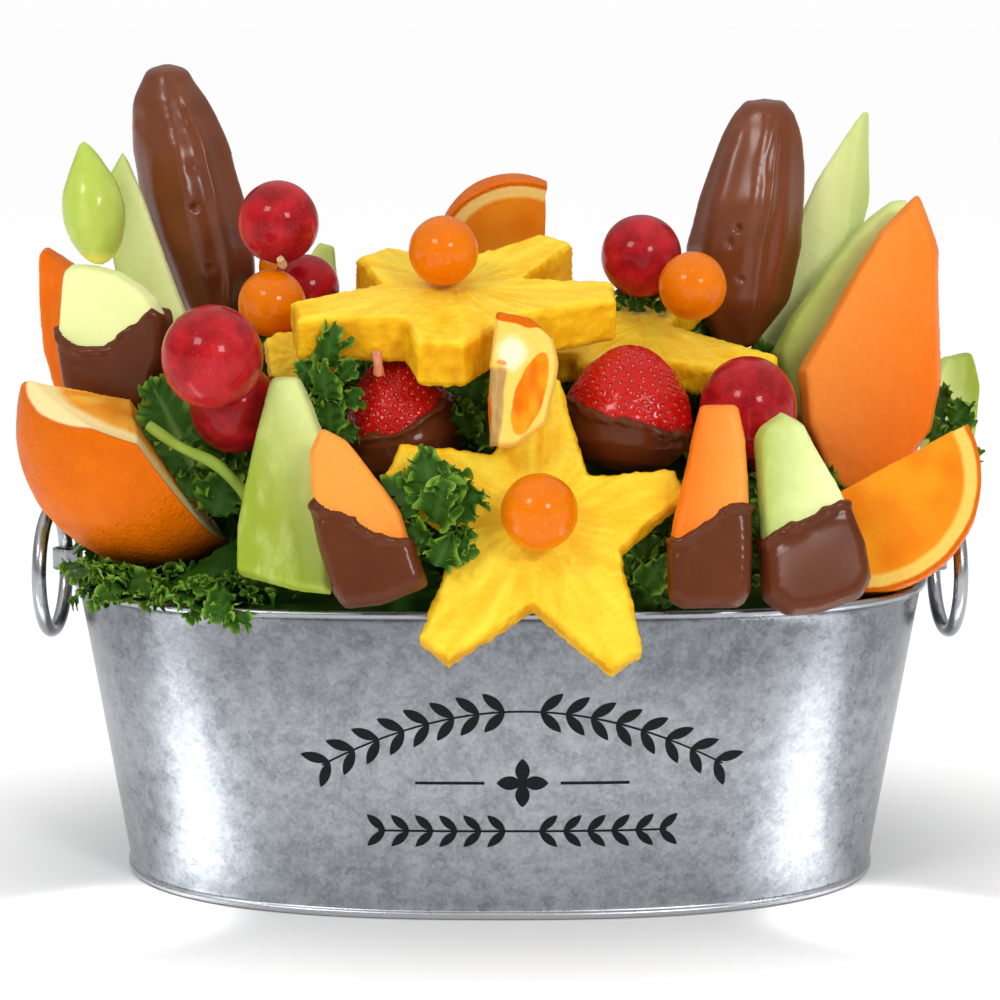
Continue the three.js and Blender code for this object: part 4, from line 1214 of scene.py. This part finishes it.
def make_beds(crowd):
    """The leaves that cover the heap, in front and behind."""
    rng = np.random.default_rng(4)
    front = leaves_over(rng, "kale_heap", 150, (12 * MM, 18 * MM),
                        lambda p, n: on_top(p) & (p[:, 1] < 0) & ~in_corner(p), pull=0.35 * UP,
                        rows=7, cols=84)
    leafy("kale_bed_front", front, crowd, inside=True)
    rng = np.random.default_rng(6)
    back = leaves_over(rng, "kale_heap", 245, (18 * MM, 26 * MM),
                       lambda p, n: on_top(p) & (p[:, 1] >= 0), stand=0.5, sunk=4 * MM, rows=6, cols=72)
    leafy("kale_bed_back", back, crowd)


def make_sprig(node, crowd, seed, plan):
    """A plume of curly leaves in the place of its CAD lump, looking to the front.

    Each leaf is (across, up, turn, length): its stalk in half sizes from the lump's middle, the
    way it grows in degrees clockwise from straight up, and its length in millimetres.
    """
    rng = np.random.default_rng(seed)
    centre, half = middle(node), half_size(node)
    leaves = []
    for across, up, turn, length in plan:
        angle = math.radians(turn + rng.uniform(-8, 8))
        at = centre + half * [across, 0.35 * rng.uniform(-1, 1), up]
        grow = np.array([math.sin(angle), -0.25 + 0.25 * rng.normal(), math.cos(angle)])
        face = np.array([0.25 * rng.normal(), -1.0, 0.3 + 0.25 * rng.normal()])
        leaves.append(placed_leaf(rng, length * MM, at, grow, face, frill=1.2, rows=10, cols=180))
    return leafy(node + "_leaves", leaves, crowd, node)


# The leaves of each plume, as make_sprig() reads them.
SPRIGS = {
    "kale_sprig_strawberry": [
        (0.0, 0.2, 0, 12), (-0.3, -0.1, -40, 9), (0.4, 0.0, 45, 8), (-0.2, -0.6, -50, 9),
        (0.3, -0.5, 55, 8), (0.0, -0.4, 5, 11), (0.2, -1.0, 80, 8), (-0.1, -1.0, -70, 8),
        (0.1, -1.0, 0, 11),
    ],
    "kale_sprig_front": [
        (0.05, 0.05, -5, 17), (0.1, 0.1, 25, 13), (-0.1, 0.1, -62, 17), (0.1, -0.15, 62, 16),
        (0.0, -0.3, -85, 12), (0.15, -0.5, 85, 11), (0.2, -0.7, 65, 10), (0.0, -0.6, -50, 10),
        (0.1, -0.95, 20, 11), (0.1, -0.2, 10, 15),
    ],
    "kale_sprig_middle": [
        (0.0, 0.0, 0, 12), (-0.2, -0.3, -45, 10), (0.3, -0.2, 45, 10), (0.0, -0.8, -15, 12),
        (0.2, -0.9, 40, 11),
    ],
    "kale_sprig_star": [
        (0.0, -0.2, 0, 11), (0.2, -0.4, 50, 10), (-0.2, -0.4, -45, 10), (0.0, -0.8, 20, 11),
        (0.3, -0.9, 75, 9), (-0.3, -0.9, -70, 9),
    ],
    "kale_sprig_right": [
        (-0.4, 0.1, -10, 11), (-0.2, 0.0, 30, 10), (-0.5, -0.3, -50, 9), (-0.2, -0.4, 60, 8),
        (-0.4, -0.6, 10, 10), (-0.1, -0.8, 45, 9), (-0.4, -1.0, -20, 11), (-0.1, -1.0, 70, 8),
    ],
    "kale_sprig_top": [
        (-0.2, -0.4, -25, 8), (0.2, -0.4, 20, 8), (0.5, -0.6, 60, 7), (-0.5, -0.6, -65, 7),
        (0.0, -0.8, 0, 8),
    ],
}


def make_rim_kale(node, crowd, seed, count, lengths, top, spans):
    """Kale under the fruit in the tub's corner that hangs over the rim along some spans of it."""
    rng = np.random.default_rng(seed)
    leaves = leaves_over(rng, node, count, lengths, lambda p, n: n[:, 2] > -0.3, stand=0.35,
                         pull=(-0.2, -0.6, 0))
    for points, _ in leaves:
        points[..., 2] -= max(points[..., 2].max() - top * MM, 0)
    rim = oval(TUB["height"] + 1.6 * MM, 0.2 * MM)
    for start, end, number in spans:
        for x in np.linspace(start * MM, end * MM, number):
            near = np.argmin(np.abs(rim[:, 0] - x) + 1000 * (rim[:, 1] > 0))
            along = unit(rim[(near + 1) % len(rim)] - rim[near - 1])
            out = np.cross(along, UP)
            grow = out + 0.5 * rng.normal() * along + rng.uniform(-0.75, 0.1) * UP
            at = rim[near] - out * rng.uniform(0, 2.5) * MM
            leaves.append(placed_leaf(rng, rng.uniform(6.5, 9.5) * MM, at, grow, out + 0.9 * UP, width=0.5))
    return leafy(node + "_leaves", leaves, crowd, node)


# The leaves of the tuft at the left: length, stalk's end, way it grows, way it faces, shape.
LEFT_TUFT = [
    (36, (-86, -43, 124), (-0.44, -0.05, 0.90), (0.1, -1, 0.25),
     {"width": 0.30, "calm": 0.8, "veined": 0.8, "rows": 16, "cols": 190}),
    (20, (-80, -44, 122), (-0.1, -0.1, 1), (0.3, -1, 0.2), {"width": 0.34}),
    (18, (-92, -42, 120), (-0.5, -0.1, 0.8), (-0.2, -1, 0.3), {}),
    (17, (-84, -48, 116), (0.3, -0.2, 0.9), (0.1, -1, 0.3), {}),
    (16, (-92, -46, 114), (0.1, -0.3, 0.9), (0.0, -1, 0.4), {}),
    (22, (-87, -42, 138), (-0.75, 0, 0.66), (0.1, -1, 0.2), {}),
    (24, (-85, -40, 134), (-0.5, 0, 0.87), (-0.1, -1, 0.2), {}),
    (18, (-87, -43, 122), (0.1, 0, 1), (0.1, -1, 0.3), {}),
    (15, (-80, -46, 116), (0.2, -0.1, 0.9), (0.1, -1, 0.3), {}),
]


def make_left_leaf(crowd):
    """A broad leaf seen flat, its left margin curled, over a tuft of smaller ones."""
    rng = np.random.default_rng(14)
    leaves = [placed_leaf(rng, length * MM, np.array(at) * MM, grow, face, **shape)
              for length, at, grow, face, shape in LEFT_TUFT]
    leafy("kale_leaf_left_leaves", leaves, crowd, "kale_leaf_left")
    line = curve(np.array([(-101.5, -55, 145), (-92.1, -58, 138.8), (-82.1, -58, 134.7), (-73.6, -58, 125.9),
                           (-70, -57, 119)]) * MM, 40)
    share = np.linspace(0, 1, 40)
    radii = MM * (1.55 + 0.7 * share**3 + 0.14 * np.sin(17 * share))
    points, faces, _ = tube(line, radii)
    dress(new_object("kale_stalk_left", points, faces), FINISH["stalk"], "kale")


def tube(points, radii, sides=14):
    """A round stalk along points: points, faces, zeros."""
    points = np.asarray(points, float)
    ahead = unit(np.gradient(points, axis=0))
    side = unit(np.cross(ahead, UP + 1e-3))
    up = np.cross(side, ahead)
    angle = np.linspace(0, 2 * math.pi, sides, endpoint=False)
    ring = np.cos(angle)[None, :, None] * side[:, None] + np.sin(angle)[None, :, None] * up[:, None]
    rows = points[:, None] + ring * np.asarray(radii)[:, None, None]
    return rows.reshape(-1, 3), grid_faces(len(points), sides, closed=True), np.zeros(rows.shape[0] * sides)


def curve(controls, count):
    """Points along a smooth curve through a few control points."""
    controls = np.asarray(controls, float)
    share = np.linspace(0, 1, len(controls))
    fine = np.linspace(0, 1, count)
    line = np.stack([np.interp(fine, share, controls[:, i]) for i in range(3)], axis=1)
    for _ in range(count // 3):
        line[1:-1] = (line[:-2] + 2 * line[1:-1] + line[2:]) / 4
    return line


# ---- skewers ----------------------------------------------------------------------
def make_stick(node):
    obj = skin(node + "_wood", node, 0.25 * MM, 3)
    swell(obj, 0.3 * MM * cloud(coords(obj) * [1, 1, 0.2], 0.9 * MM, 2))
    return dress(obj, FINISH[node], "skewer", node)


# ---- everything -------------------------------------------------------------------
make_tub()
make_ornament()
make_ring("ring_left", -1)
make_ring("ring_right", 1)
make_ear("ear_left")
make_ear("ear_right")

fruit = {obj.name: obj for obj in make_balls()}
green = make_green_grape()
pineapples = [
    make_pineapple("pineapple_star_front", 0.62 * MM, 11),
    make_pineapple("pineapple_star_top", 0.62 * MM, 27),
    make_pineapple("pineapple_star_low", 0.72 * MM, 43),
    make_pineapple("pineapple_point_left", 0.7 * MM, 59),
]
melons = {node: make_melon(node, 7 * i) for i, node in enumerate(RIND_SIDE)}
oranges = [make_orange(node, 5 * i) for i, node in enumerate(ORANGES)]
oranges.append(make_middle_wedge("orange_wedge_middle", 91))
bananas = [
    make_banana("banana_left", 2, [(36, 30, 9, 1.6), (100, 100, 24, 1.0), (-80, -80, 24, 1.0)], (-4, 4, 20),
                [(4, 0.47, 0.9, 1.6), (14, 0.62, 2.0, 0.7), (8, 0.24, 1.1, 0.7)]),
    make_banana("banana_right", 5, [(6, 34, 8, 1.5), (-60, -40, 22, 1.0), (100, 100, 24, 1.0)], (-12, 8, 16),
                [(-14, 0.5, 1.0, 1.5), (-22, 0.44, 1.3, 0.8), (-6, 0.3, 1.1, 0.8)]),
]
berries = {node: make_strawberry(node, seed)
           for node, seed in (("strawberry_left", 3), ("strawberry_right", 4))}
dipped = {**melons, **berries}
coats = [make_coat(node, dipped[dip[0]], 4 * i + 1) for i, (node, dip) in enumerate(DIPS.items())]
make_stick("skewer_grape")
make_stick("skewer_strawberry")

crowd = Crowd([*fruit.values(), green, *pineapples, *melons.values(), *oranges, *bananas,
               *berries.values(), *coats, bpy.data.objects["tub_sheet"]])
make_core()
make_beds(crowd)
make_rim_kale("kale_rim_left", crowd, 12, 46, (9 * MM, 13 * MM), 104, [(-123, -101, 10)])
make_rim_kale("kale_rim_front_left", crowd, 13, 24, (7 * MM, 11 * MM), 103, [(-90, -74, 7)])
make_left_leaf(crowd)
for seed, (node, plan) in enumerate(SPRIGS.items(), start=15):
    make_sprig(node, crowd, seed, plan)


# ---- floor, light and camera ------------------------------------------------------
def make_floor():
    """A white floor that glows a little, less so near the tub, where the dimmed glow paints its soft shadow.
    """
    size = 60.0
    corners = [(-size, -size, 0), (size, -size, 0), (size, size, 0), (-size, size, 0)]
    floor = new_object("floor", corners, [(0, 1, 2, 3)])
    f = Finish("pale_floor", Emission_Strength=0.35)
    near = f.node("Mapping", {}, {"Vector": f.position, "Scale": (1 / 0.115, 1 / 0.0665, 0)})
    away = f.node("VectorMath", {"operation": "LENGTH"}, {0: near}, "Value")
    # Painted shadow: the glow fades to nearly dark towards the tub's foot.
    glow = f.blend(f.step(away, 0.95, 2.3), (0.05, 0.05, 0.05), (1, 1, 1))
    floor.data.materials.append(f.done((0.86, 0.86, 0.86, 1), 0.9, glow=glow))


def area_light(name, place, target, size, power):
    lamp = bpy.data.lights.new(name, "AREA")
    lamp.shape = "RECTANGLE"
    lamp.size, lamp.size_y = size
    lamp.energy = power
    obj = linked(name, lamp)
    obj.location = place
    obj.rotation_euler = (Vector(target) - Vector(place)).to_track_quat("-Z", "Y").to_euler()
    return obj


def make_light():
    """A white horizon, a soft bright ceiling, two soft boxes, and bright floor beside the tub."""
    world = bpy.data.worlds.new("studio")
    world.use_nodes = True
    tree = world.node_tree
    place = tree.nodes.new("ShaderNodeTexCoord")
    apart = tree.nodes.new("ShaderNodeSeparateXYZ")
    band = tree.nodes.new("ShaderNodeValToRGB")
    stops = [(0.0, 0.985), (0.03, 0.985), (0.10, 0.30), (0.35, 0.40), (0.8, 0.85), (1.0, 1.1)]
    Finish._set_stops(band.color_ramp, [(at, (tone, tone, tone)) for at, tone in stops])
    tree.links.new(place.outputs["Generated"], apart.inputs[0])
    tree.links.new(apart.outputs[2], band.inputs[0])
    tree.links.new(band.outputs[0], tree.nodes["Background"].inputs["Color"])
    bpy.context.scene.world = world
    aim = (0, 0, 0.12)
    area_light("key", (0.48, -1.0, 0.64), aim, (0.26, 0.24), 3.9)
    area_light("fill", (-0.55, -0.80, 0.85), aim, (0.30, 0.26), 3.2)
    for side in (-1, 1):
        x, y = side * 0.168, -0.096
        glow = area_light("floor_glow", (x, y, 0.05), (x, y, 0), (0.17, 0.024), 0.075)
        glow.rotation_euler = (0, 0, -side * math.radians(31))
        glow.data.spread = math.radians(60)


CAMERA_PLACE = (0, -0.850, 0.2621)
CAMERA_DOWN = 9.92                           # degrees below level
CAMERA_LENS = 100.2                          # millimetres, for a picture 36 mm wide


def make_camera():
    camera = bpy.data.cameras.new("camera")
    camera.sensor_width = 36
    camera.lens = CAMERA_LENS
    camera.clip_start = 0.05
    obj = linked("camera", camera)
    obj.location = CAMERA_PLACE
    obj.rotation_euler = (math.radians(90 - CAMERA_DOWN), 0, 0)
    bpy.context.scene.camera = obj


make_floor()
make_light()
make_camera()
bpy.context.scene.view_settings.view_transform = "Standard"
